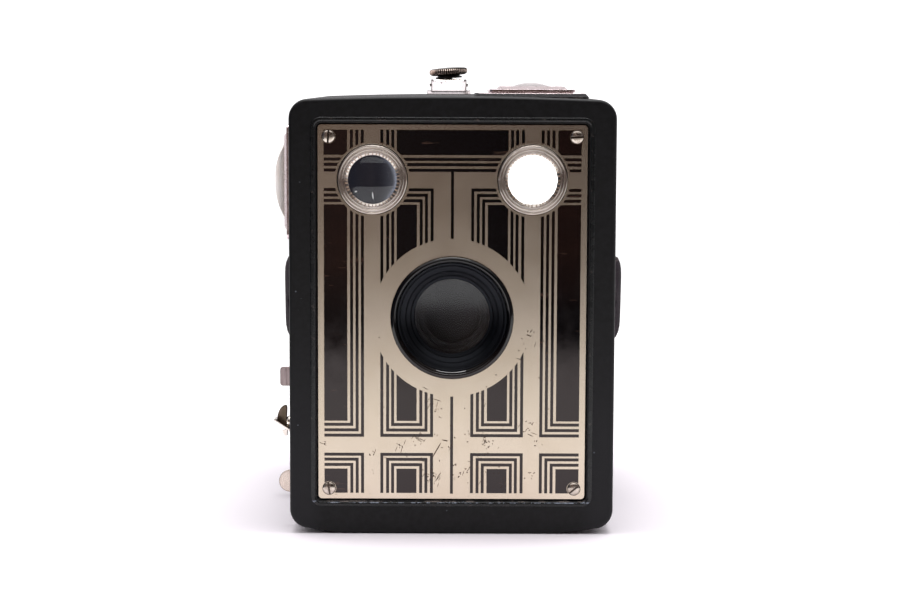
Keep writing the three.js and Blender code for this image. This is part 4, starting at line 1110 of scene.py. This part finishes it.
def window_frame(wide, long):
    """Stepped metal frame lying on z = 0 about the origin, wide along x, long along y."""
    made = slab("wf", wide, long, 1.3 * MM, (0, 0.04 * MM), (0, 0.74 * MM))
    foot = slab("ff", wide, long, 1.3 * MM, (0.6 * MM, -SEAT_DROP), (0.6 * MM, 0.1 * MM))
    lip = slab("wl", wide - 3.6 * MM, long - 4 * MM, 2.2 * MM,
               (0, 0.6 * MM), (0.1 * MM, 0.74 * MM), (0.9 * MM, 1.52 * MM))
    seat = slab("ws", wide + 5 * MM, long + 4.8 * MM, 2 * MM,
                (0, -SEAT_DROP - 0.08 * MM), (0, -SEAT_DROP + 0.06 * MM))
    carve(made, foot, lip, seat, operation="UNION")
    opening = rounded_rect(wide - 6.4 * MM, long - 6.8 * MM, 1.8 * MM)
    carve(made, prism("wo", opening, "z", -4 * MM, 4 * MM))
    return soften(made, 0.12 * MM, 2, 45)


def window_dome(wide, long, rise, radius):
    """Bulged magnifier for the frame above."""
    edge = rounded_rect(wide - 7 * MM, long - 7.4 * MM, 1.5 * MM)
    rings = [[(x, y, -1.2 * MM) for x, y in edge]]
    for k in range(15):
        share = math.cos(TAU / 4 * k / 15)
        flat = [(x * share, y * share) for x, y in edge]
        rings.append([(x, y, rise - radius + math.sqrt(radius ** 2 - x ** 2 - y ** 2)) for x, y in flat])
    return loft("wg", rings)


def build_windows():
    for name, turn, wide, long, rise, radius in WINDOWS:
        low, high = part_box(f"{name}_window_frame")
        spot = (low + high) / 2
        if name == "top":
            spot.z = low.z
        else:
            spot.x = high.x
        rim, dome = window_frame(wide, long), window_dome(wide, long, rise, radius)
        for made, label, slot_name, mat, node in (
            (rim, "rim", "nickel", "rim", "frame"),
            (dome, "dome", "glass", f"{name}_dome", "glass"),
        ):
            made.data.transform(Matrix.Translation(spot) @ turn)
            made.name = f"{name}_window_{label}"
            place(made, "case", slot_name, MATS[mat], f"{name}_window_{node}", angle=45)


# ---- controls -----------------------------------------------------------------------------
LEVER_TIP_R = 2.9 * MM
TAB_SLIT_X = (-26.2 * MM, -19 * MM)


def build_lever():
    """Flat release arm: a round tip outside the case, a hub on its stud and a short tail."""
    low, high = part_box("shutter_lever")
    pivot = middle("lever_stud")
    tip = Vector((low.x + LEVER_TIP_R, 0, low.z + LEVER_TIP_R))
    arm = Vector((tip.x - pivot.x, 0, tip.z - pivot.z))
    side = Vector((-arm.z, 0, arm.x)).normalized() * 2 * MM
    start = math.atan2(arm.z, arm.x) + TAU * 0.3
    turns = [start - TAU * 0.6 * k / 24 for k in range(25)]
    ring = [(tip.x + LEVER_TIP_R * math.cos(a), tip.z + LEVER_TIP_R * math.sin(a)) for a in turns]
    ring += [(pivot.x - side.x, pivot.z - side.z), (pivot.x + side.x, pivot.z + side.z)]
    thick = (low.y, high.y)
    made = prism("release_lever", ring, "y", *thick)
    hub = rod("hub", "y", 3.4 * MM, *thick, pivot.x, pivot.z)
    tail = block("tail", pivot.x - 1.2 * MM, pivot.x + 1.2 * MM, *thick, pivot.z, high.z)
    carve(made, hub, tail, operation="UNION")
    carve(made, rod("bore", "y", 1.55 * MM, low.y - MM, high.y + MM, pivot.x, pivot.z))
    soften(made, 0.2 * MM, 3, 45)
    place(made, "lever", "nickel", MATS["lever"], "shutter_lever")


def build_tab():
    low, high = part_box("time_tab")
    spot, size = centre_and_size("time_tab")
    made = prism("time_slide_tab", rounded_rect(size.x, size.z, 0.8 * MM, spot.x, spot.z), "y", low.y, high.y)
    slit = block("slit", *TAB_SLIT_X, low.y - MM, high.y + MM, spot.z - 0.9 * MM, spot.z + 0.9 * MM)
    carve(made, slit)
    soften(made, 0.16 * MM, 3, 45)
    place(made, "time_slide", "nickel", MATS["tab"], "time_tab")


# Outlines of the key in (x, z), mm.
KEY_TOP_WING = [
    (-46.6, 20.1), (-46.4, 25.5), (-46.65, 26.2), (-47.3, 26.1), (-48.1, 25.45), (-48.7, 24.5),
    (-49.1, 23.4), (-49.3, 22.2), (-48.8, 21.6),
]
KEY_LOW_WING = [(-46.3, 19.4), (-46.3, 17.5), (-46.8, 17.25), (-47.5, 17.7), (-47.9, 18.9)]
KEY_WEB = [(-49.95, 22.55), (-50.05, 22.2), (-49.8, 21.95), (-45.3, 18.75), (-44.9, 19.1), (-45.6, 19.65)]
KEY_SHAFT = [
    (0, 29.4), (1.2, 29.4), (1.2, 33.0), (1.85, 33.2), (1.85, 43.6), (2.1, 43.8), (2.1, 44.3), (1.7, 44.5),
    (1.7, 46.0), (1.2, 46.5), (0, 46.6),
]
KEY_WASHER = [(3.9, 0.0), (6.2, 0.0), (6.2, 0.25), (5.9, 0.52), (4.4, 0.52), (3.9, 0.3), (3.9, 0.0)]
KEY_WING_ROOT_X = -46.4 * MM


def key_leaf(name, outline, y, half, turn=0.0):
    """Plate of the key's outline, leaning by turn degrees about an upright line at its root."""
    made = prism(name, rounded_loop(mm(outline), 0.3 * MM, 3), "y", y - half, y + half)
    if turn:
        root = Vector((KEY_WING_ROOT_X, y, 0))
        lean = Matrix.Rotation(math.radians(turn), 4, "Z")
        made.data.transform(Matrix.Translation(root) @ lean @ Matrix.Translation(-root))
    return soften(made, 0.12 * MM, 2, 50)


def build_key():
    """Wing key: a shaft, a web across its end and one raised leaf on each side of the web."""
    hole = middle("key_washer")
    y, z = hole.y, hole.z
    low_wing = key_leaf("low_wing", KEY_LOW_WING, y, 0.35 * MM, -8)
    web = key_leaf("web", KEY_WEB, y, 2.6 * MM)
    # The top leaf takes the dark plating copy: painted shade.
    leaning = key_leaf("key_top_wing", KEY_TOP_WING, y, 0.4 * MM, -12)
    place(leaning, "key", "nickel", MATS["shaded_key_plating"], angle=45)
    shaft = lathe("key_shaft", rounded(mm(KEY_SHAFT), 0.2 * MM, 3), (0, y, z), "-x", 48)
    join(shaft, low_wing, web)
    shaft.name = "winding_wing_key"
    place(shaft, "key", "nickel", MATS["bright_nickel"], "winding_key", angle=45)
    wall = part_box("key_washer")[1].x
    ring = lathe("key_ring", rounded(mm(KEY_WASHER), 0.12 * MM), (wall, y, z), "-x", 72)
    place(ring, "case", "nickel", MATS["nickel"], "key_washer", angle=50)


# ---- latch --------------------------------------------------------------------------------
LATCH_EAR_X = 4.8 * MM


def sheet(name, cx, *levels):
    """Box with sloping faces through (half width, near y, far y, z) levels."""
    return loft(name, [
        [(cx - w, y0, z), (cx + w, y0, z), (cx + w, y1, z), (cx - w, y1, z)] for w, y0, y1, z in levels
    ])


def build_latch():
    """Pressed saddle: a flange, a raised seat, two ears and a leaning apron at the front."""
    low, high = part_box("latch_base")
    cx, half, y, z = (low.x + high.x) / 2, (high.x - low.x) / 2, low.y, low.z
    outline = rounded_rect(2 * half, high.y - y - MM, 0.9 * MM, cx, (y + high.y) / 2 + 0.5 * MM)
    flange = prism("latch_saddle", outline, "z", z, z + 1.1 * MM)
    seat_y = (29.4 * MM, 38 * MM)
    seat = sheet("ls", cx, (5.3 * MM, *seat_y, z + 0.9 * MM), (5 * MM, *seat_y, z + 1.6 * MM),
                 (4.85 * MM, *seat_y, z + 3.1 * MM))
    apron = sheet("la", cx, (5 * MM, y + 0.1 * MM, y + 0.7 * MM, z + 0.85 * MM),
                  (5 * MM, y + 1.75 * MM, y + 2.05 * MM, high.z - 0.5 * MM))
    skirt = sheet("lk", cx, (half, y, y + 3 * MM, z), (half, y + 0.08 * MM, y + 3 * MM, z + 0.25 * MM),
                  (half, y + 0.5 * MM, y + 3 * MM, z + MM))
    ears = [block("e", cx + side * LATCH_EAR_X - 0.35 * MM, cx + side * LATCH_EAR_X + 0.35 * MM,
                  y + 1.6 * MM, 30 * MM, z + MM, high.z) for side in (-1, 1)]
    carve(flange, seat, apron, skirt, *ears, operation="UNION")
    soften(flange, 0.22 * MM, 3, 40)
    place(flange, "case", "nickel", MATS["latch"], "latch_base")
    build_latch_arm(cx)
    build_knob()


def build_latch_arm(cx):
    """Arm on the latch pin: chamfered in front so that it clears the apron, hooked at the back."""
    low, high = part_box("latch_arm")
    half, top = (high.x - low.x) / 2, high.z
    pivot = middle("latch_pin")
    under = top - 1.1 * MM
    front = low.y + 0.6 * MM
    profile = [
        (front, pivot.z - 0.1 * MM), (front, pivot.z - 0.8 * MM), (pivot.y + 0.9 * MM, pivot.z - 1.1 * MM),
        (pivot.y + 1.3 * MM, under), (high.y - 1.5 * MM, under), (high.y - 1.2 * MM, low.z + 0.75 * MM),
        (high.y, low.z + 0.75 * MM), (high.y, top - 0.5 * MM), (high.y - 0.8 * MM, top),
        (front + 2 * MM, top),
    ]
    arm = prism("latch_lift_arm", rounded_loop(profile, 0.5 * MM, 4), "x", cx - half, cx + half)
    ribs = [block("rib", x - 0.3 * MM, x + 0.3 * MM, 40 * MM, 49 * MM, top - 0.1 * MM, top + 0.22 * MM)
            for x in (cx - 1.9 * MM, cx + 1.9 * MM)]
    carve(arm, *ribs, operation="UNION")
    soften(arm, 0.16 * MM, 3, 40)
    place(arm, "latch", "nickel", MATS["bright_nickel"], "latch_arm")


# (share of the radius, height in mm) of the knob's rings, and (radius, height) of its neck.
KNOB_LEVELS = [
    (0.45, 0.8), (0.84, 0.92), (0.96, 1.3), (1.0, 1.8), (1.0, 2.3), (0.95, 2.75), (0.84, 2.95), (0.5, 3.1),
    (0.2, 3.2), (0.02, 3.22),
]
KNOB_NECK = [(0, -1.3), (1.0, -1.3), (1.0, 0.0), (3.9, 0.02), (3.9, 0.5), (3.3, 0.62), (3.2, 1.0), (0, 1.0)]
KNOB_TEETH, KNOB_STEPS = 56, 6
KNOB_LEAN = math.radians(-4)


def build_knob():
    spot, size = centre_and_size("latch_knob")
    count = KNOB_TEETH * KNOB_STEPS
    rings = []
    for share, z in KNOB_LEVELS:
        ring = []
        for k in range(count):
            groove = k % KNOB_STEPS < KNOB_STEPS / 2 and share > 0.8
            radius = size.x / 2 * share - (0.45 * MM if groove else 0)
            a = TAU * k / count
            ring.append((radius * math.cos(a), radius * math.sin(a), z * MM))
        rings.append(ring)
    disc = loft("knurled_knob", rings)
    hub = lathe("knob_hub", mm(KNOB_NECK), (0, 0, 0), "z", 48)
    foot = Vector((spot.x, spot.y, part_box("latch_arm")[1].z + 0.1 * MM))
    for made in (disc, hub):
        made.data.transform(Matrix.Translation(foot) @ Matrix.Rotation(KNOB_LEAN, 4, "Y"))
    place(disc, "latch", "knob_metal", MATS["knob"], "latch_knob", angle=25)
    place(hub, "latch", "black_metal", MATS["black"], angle=30)


# ---- back ---------------------------------------------------------------------------------
DOOR_SEAM = DOOR_LO.y + 2.75 * MM
HINGE_ARMS_X = (-20 * MM, 0, 20 * MM)
EYELET = [
    (3.6, -1.6), (3.6, 0.2), (3.9, 0.36), (4.9, 0.3), (5.4, 0.02), (4.0, 0.02), (4.0, -1.6), (3.6, -1.6),
]


def build_light_lip():
    """Hollow ring that reaches into the case, open along its base for the hinge."""
    out, deep = WALL + 0.3 * MM, WALL + 1.3 * MM
    far = DOOR_SEAM + 1.25 * MM
    rings = [case_ring(DOOR_LO.y, out), case_ring(far, out), case_ring(far, deep), case_ring(DOOR_LO.y, deep)]
    lip = loft("lip", rings, close=True)
    return carve(lip, block("c", -60 * MM, 60 * MM, DOOR_LO.y - MM, DOOR_SEAM + 3 * MM, -MM, 9 * MM))


def build_back():
    rings = [case_ring(DOOR_SEAM, 0.15 * MM, DOOR_BASE), case_ring(DOOR_SEAM + 0.2 * MM, 0, DOOR_BASE)]
    rings += rolled_rings(DOOR_SEAM, BACK_Y, 2.4 * MM, 8, DOOR_BASE)
    back = loft("back_cover", rings)
    carve(back, prism("h", case_outline(2.2 * MM, 0.1 * MM), "y", DOOR_SEAM - MM, BACK_Y - WALL))
    carve(back, build_light_lip(), operation="UNION")
    pin = middle("hinge_pin")
    for x in (-10 * MM, 10 * MM):
        knuckle = rod("k", "x", 1.5 * MM, x - 7 * MM, x + 7 * MM, pin.y, pin.z, 32)
        web = block("w", x - 7 * MM, x + 7 * MM, pin.y, BACK_Y - MM, pin.z - 0.6 * MM, pin.z + 0.6 * MM)
        carve(back, knuckle, web, operation="UNION")
    for x in HINGE_ARMS_X:
        carve(back, block("n", x - 2.6 * MM, x + 2.6 * MM, DOOR_SEAM - MM, pin.y + 0.9 * MM,
                          DOOR_BASE - MM, pin.z - MM))
    window = middle("red_window_ring")
    carve(back, rod("w", "y", 4.2 * MM, BACK_Y - 4 * MM, BACK_Y + 2 * MM, window.x, window.z),
          rod("p", "x", 0.95 * MM, -40 * MM, 40 * MM, pin.y, pin.z, 24))
    soften(back, 0.2 * MM, 2, 50)
    place(back, "door", "leatherette", MATS["leatherette"], "back_door", angle=40)
    eyelet = lathe("window_eyelet", rounded(mm(EYELET), 0.08 * MM), (window.x, BACK_Y, window.z), "y", 72)
    place(eyelet, "door", "nickel", MATS["nickel"], "red_window_ring", angle=50)
    low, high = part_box("red_window")
    thick = (high.y - low.y) / MM
    pane = [(0, 0), (5.6, 0), (5.6, thick), (3, thick - 0.03), (0, thick - 0.1)]
    disc = lathe("ruby_disc", mm(pane), (window.x, low.y, window.z), "y", 48)
    place(disc, "door", "ruby_pane", MATS["ruby"], "red_window")


# ---- leather straps -----------------------------------------------------------------------
STRAP_T = 1.7 * MM
STRAP_FLAT = 8 * MM
STRAP_CORNER = 4 * MM
STRAP_CAD_BULGE = 3.9 * MM
STRAP_SHY = {"left": 0.75 * MM, "right": 0.1 * MM}  # how far the bulge stays inside the CAD strap
STRAP_STEPS, STRAP_ROWS = 56, 17
STITCHES = 21
STITCH_INSET = 2.9 * MM
RIVET = [(0, 0.95), (0.7, 0.9), (1.3, 0.76), (1.9, 0.46), (2.25, 0.12), (2.3, 0.0), (2.2, -0.25), (0, -0.25)]


class Strap:
    """One side strap: where its wall is, which way it bulges, and its lift over the wall along y."""

    def __init__(self, side):
        self.low, self.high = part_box("side_strap_" + side)
        self.sign = -1 if side == "left" else 1
        self.wall = self.high.x if side == "left" else self.low.x
        self.bulge = self.high.x - self.low.x - STRAP_T - STRAP_SHY[side]
        self.mid_z = (self.low.z + self.high.z) / 2 - 0.5 * MM
        self.half = (self.high.z - self.low.z) / 2 - 0.5 * MM

    def path(self):
        """(y, lift) along the strap."""
        start, end = self.low.y + STRAP_FLAT, self.high.y - STRAP_FLAT
        for k in range(STRAP_STEPS + 1):
            y = self.low.y + (self.high.y - self.low.y) * k / STRAP_STEPS
            t = min(max((y - start) / (end - start), 0), 1)
            yield y, self.bulge * math.sin(math.pi * t) ** 0.8

    def ring(self, y, lift):
        """Section across the strap: crowned outside, flat inside, narrower at the round corners."""
        end = min(y - self.low.y, self.high.y - y)
        cut = max(STRAP_CORNER - end, 0)
        half = self.half - (STRAP_CORNER - math.sqrt(max(STRAP_CORNER ** 2 - cut ** 2, 0)))
        outer, inner = [], []
        for k in range(STRAP_ROWS):
            s = 2 * k / (STRAP_ROWS - 1) - 1
            crown = 1 - abs(s) ** 7
            height = lift - 0.35 * MM * (lift / STRAP_CAD_BULGE) * (1 - s) / 2
            x_out = max(height, 0) + STRAP_T * (0.45 + 0.55 * crown)
            x_in = max(height + STRAP_T * 0.12 * (1 - crown), 0)
            z = self.mid_z + half * s
            outer.append((self.wall + self.sign * x_out, y, z))
            inner.append((self.wall + self.sign * x_in, y, z))
        return outer + inner[::-1]

    def stitch(self, row, y0, y1, points):
        """Short thread arched over the leather between y0 and y1."""
        z = self.mid_z + row * (self.half - STITCH_INSET)
        rings = []
        for n in range(7):
            y = y0 + (y1 - y0) * n / 6
            lift = min(points, key=lambda p: abs(p[0] - y))[1]
            sag = lift * 0.09 * (1 - row * (self.half - STITCH_INSET) / self.half) / 2
            height = lift - sag + STRAP_T - 0.42 * MM + 0.22 * MM * math.sin(math.pi * n / 6)
            x = self.wall + self.sign * height
            rings.append([(x + dx, y, z + dz) for dx, dz in circle(0.15 * MM, count=8)])
        return loft("stitch", rings)


def build_strap(side):
    strap = Strap(side)
    points = list(strap.path())
    band = loft("strap_band_" + side, [strap.ring(y, lift) for y, lift in points])
    place(band, "case", "strap_leather", MATS["strap"], "side_strap_" + side, angle=60)
    start = strap.low.y + 6 * MM
    pitch = (strap.high.y - 6 * MM - start) / STITCHES
    seam = join(*(
        strap.stitch(row, start + pitch * (k + 0.16), start + pitch * (k + 0.84), points)
        for row in (-1, 1) for k in range(STITCHES)
    ))
    seam.name = "strap_stitches_" + side
    place(seam, "case", "strap_leather", MATS["thread"], angle=60)


def build_rivet(side, end):
    node = f"strap_rivet_{side}_{end}"
    low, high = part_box(node)
    spot = (low + high) / 2
    face, axis = (high.x, "-x") if side == "left" else (low.x, "x")
    cap = lathe(f"rivet_cap_{side}_{end}", mm(RIVET), (face, spot.y, spot.z), axis, 40)
    place(cap, "case", "nickel", MATS["strap"], node, angle=50)


# ---- CAD nodes that keep their own shape --------------------------------------------------
KEPT = {
    "black": ["shutter_plate", "shutter_disc", "lens_board", "light_cone", "film_carrier", "takeup_spool",
              "supply_spool", "winder_sleeve", "finder_box_left", "finder_box_right", "glass_retainer",
              "lens_cell"],
    "steel": ["disc_stud", "lever_stud", "supply_pin_left", "takeup_pin", "supply_pin_right",
              "hinge_leaf", "hinge_pin", "latch_pin", "film_roller_base", "film_roller_top"],
    "nickel": ["film_gate", "door_strike"],
    "glass": ["meniscus_lens"],
    "mirror": ["finder_mirror_right"],
    # The left mirror takes the darker copy: painted shade.
    "shaded_mirror": ["finder_mirror_left"],
}


def dress_cad_nodes():
    for mat, names in KEPT.items():
        for name in names:
            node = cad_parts[name]
            node.data.materials.clear()
            node.data.materials.append(MATS[mat])
            if mat in ("black", "steel", "nickel"):
                rim = node.modifiers.new("rim", "BEVEL")
                rim.width = 0.12 * MM
                rim.segments = 2
                rim.limit_method = "ANGLE"
                rim.angle_limit = math.radians(50)
            smooth(node, 35, weigh=False)


# ---- stage --------------------------------------------------------------------------------
FLOOR_EDGE = [(-0.2, -0.4), (-0.05, -0.42), (0.06, -0.42), (0.35, -0.44)]


def build_floor():
    outline = [(1.6, -0.44), (1.6, 1.2), (-0.2, 1.2)] + FLOOR_EDGE
    floor = mesh_object("floor", [(x, y, 0) for x, y in outline], [tuple(range(len(outline)))])
    floor.data.materials.append(floor_white())


WORLD_WHITE = (1.35, 1.33, 1.35, 1)
WORLD_FRONT = (0.172, 0.128, 0.113, 1)
WORLD_FRONT_RIGHT = (0.035, 0.023, 0.019, 1)
WORLD_LEFT = (0.04, 0.044, 0.06, 1)
WORLD_RIGHT = (0.16, 0.14, 0.14, 1)


def build_world():
    """White to the camera; to the object, a white wall behind and a dim room on the other sides."""
    world = bpy.data.worlds.new("studio")
    bpy.context.scene.world = world
    world.use_nodes = True
    g = Graph(world.node_tree, "Generated")
    x, y, z = g.axes()

    def fade(axis, low, high):
        return g.span(axis, low, high, kind="SMOOTHSTEP")

    front = g.mix(fade(x, -0.08, 0.08), WORLD_FRONT, WORLD_FRONT_RIGHT)
    sides = g.mix(fade(x, -0.7, -0.3), WORLD_LEFT, front)
    sides = g.mix(fade(x, 0.4, 0.9), sides, WORLD_RIGHT)
    walls = g.mix(fade(y, 0.1, 0.45), sides, WORLD_WHITE)
    room = g.mix(fade(z, 0.55, 0.8), walls, WORLD_WHITE)
    seen = g.add("ShaderNodeLightPath").outputs["Is Camera Ray"]
    g.feed(g.tree.nodes["Background"].inputs["Color"], g.mix(seen, room, WORLD_WHITE))


LAMP_AT, LAMP_AIM = Vector((0.02, -0.02, 0.85)), Vector((0.02, 0.0, 0.0))
LAMP_SIZE = (0.5, 0.22)
LAMP_POWER = 4.5


def build_lamp():
    """Wide soft box overhead."""
    data = bpy.data.lights.new("overhead", "AREA")
    data.shape = "RECTANGLE"
    data.size, data.size_y = LAMP_SIZE
    data.energy = LAMP_POWER
    lamp = bpy.data.objects.new("overhead", data)
    bpy.context.scene.collection.objects.link(lamp)
    lamp.location = LAMP_AT
    lamp.rotation_euler = (LAMP_AIM - LAMP_AT).to_track_quat("-Z", "Y").to_euler()


SENSOR_MM, LENS_MM = 36, 83.4
CAMERA_X = -0.54 * MM
CAMERA_BACK = 533.5 * MM  # from the front plane
CAMERA_RISE = 117.3 * MM
CAMERA_PITCH = math.radians(6.0)
CAMERA_ROLL = math.radians(0.2)


def build_camera():
    data = bpy.data.cameras.new("camera")
    data.sensor_width = SENSOR_MM
    data.lens = LENS_MM
    view = bpy.data.objects.new("camera", data)
    bpy.context.scene.collection.objects.link(view)
    turn = Matrix.Rotation(TAU / 4 - CAMERA_PITCH, 4, "X") @ Matrix.Rotation(CAMERA_ROLL, 4, "Z")
    view.matrix_world = Matrix.Translation((CAMERA_X, FRONT_Y - CAMERA_BACK, CAMERA_RISE)) @ turn
    bpy.context.scene.camera = view


build_camera()
build_world()
build_lamp()
build_floor()
build_case()
build_front_frame()
build_plate()
build_stripes()
build_wear()
build_screws()
build_lens()
for side in FINDERS:
    build_finder(side)
build_windows()
build_lever()
build_tab()
build_key()
build_latch()
build_back()
for side in STRAP_SHY:
    build_strap(side)
for side in STRAP_SHY:
    build_rivet(side, "front")
    build_rivet(side, "rear")
dress_cad_nodes()
bpy.context.scene.view_settings.view_transform = "Standard"
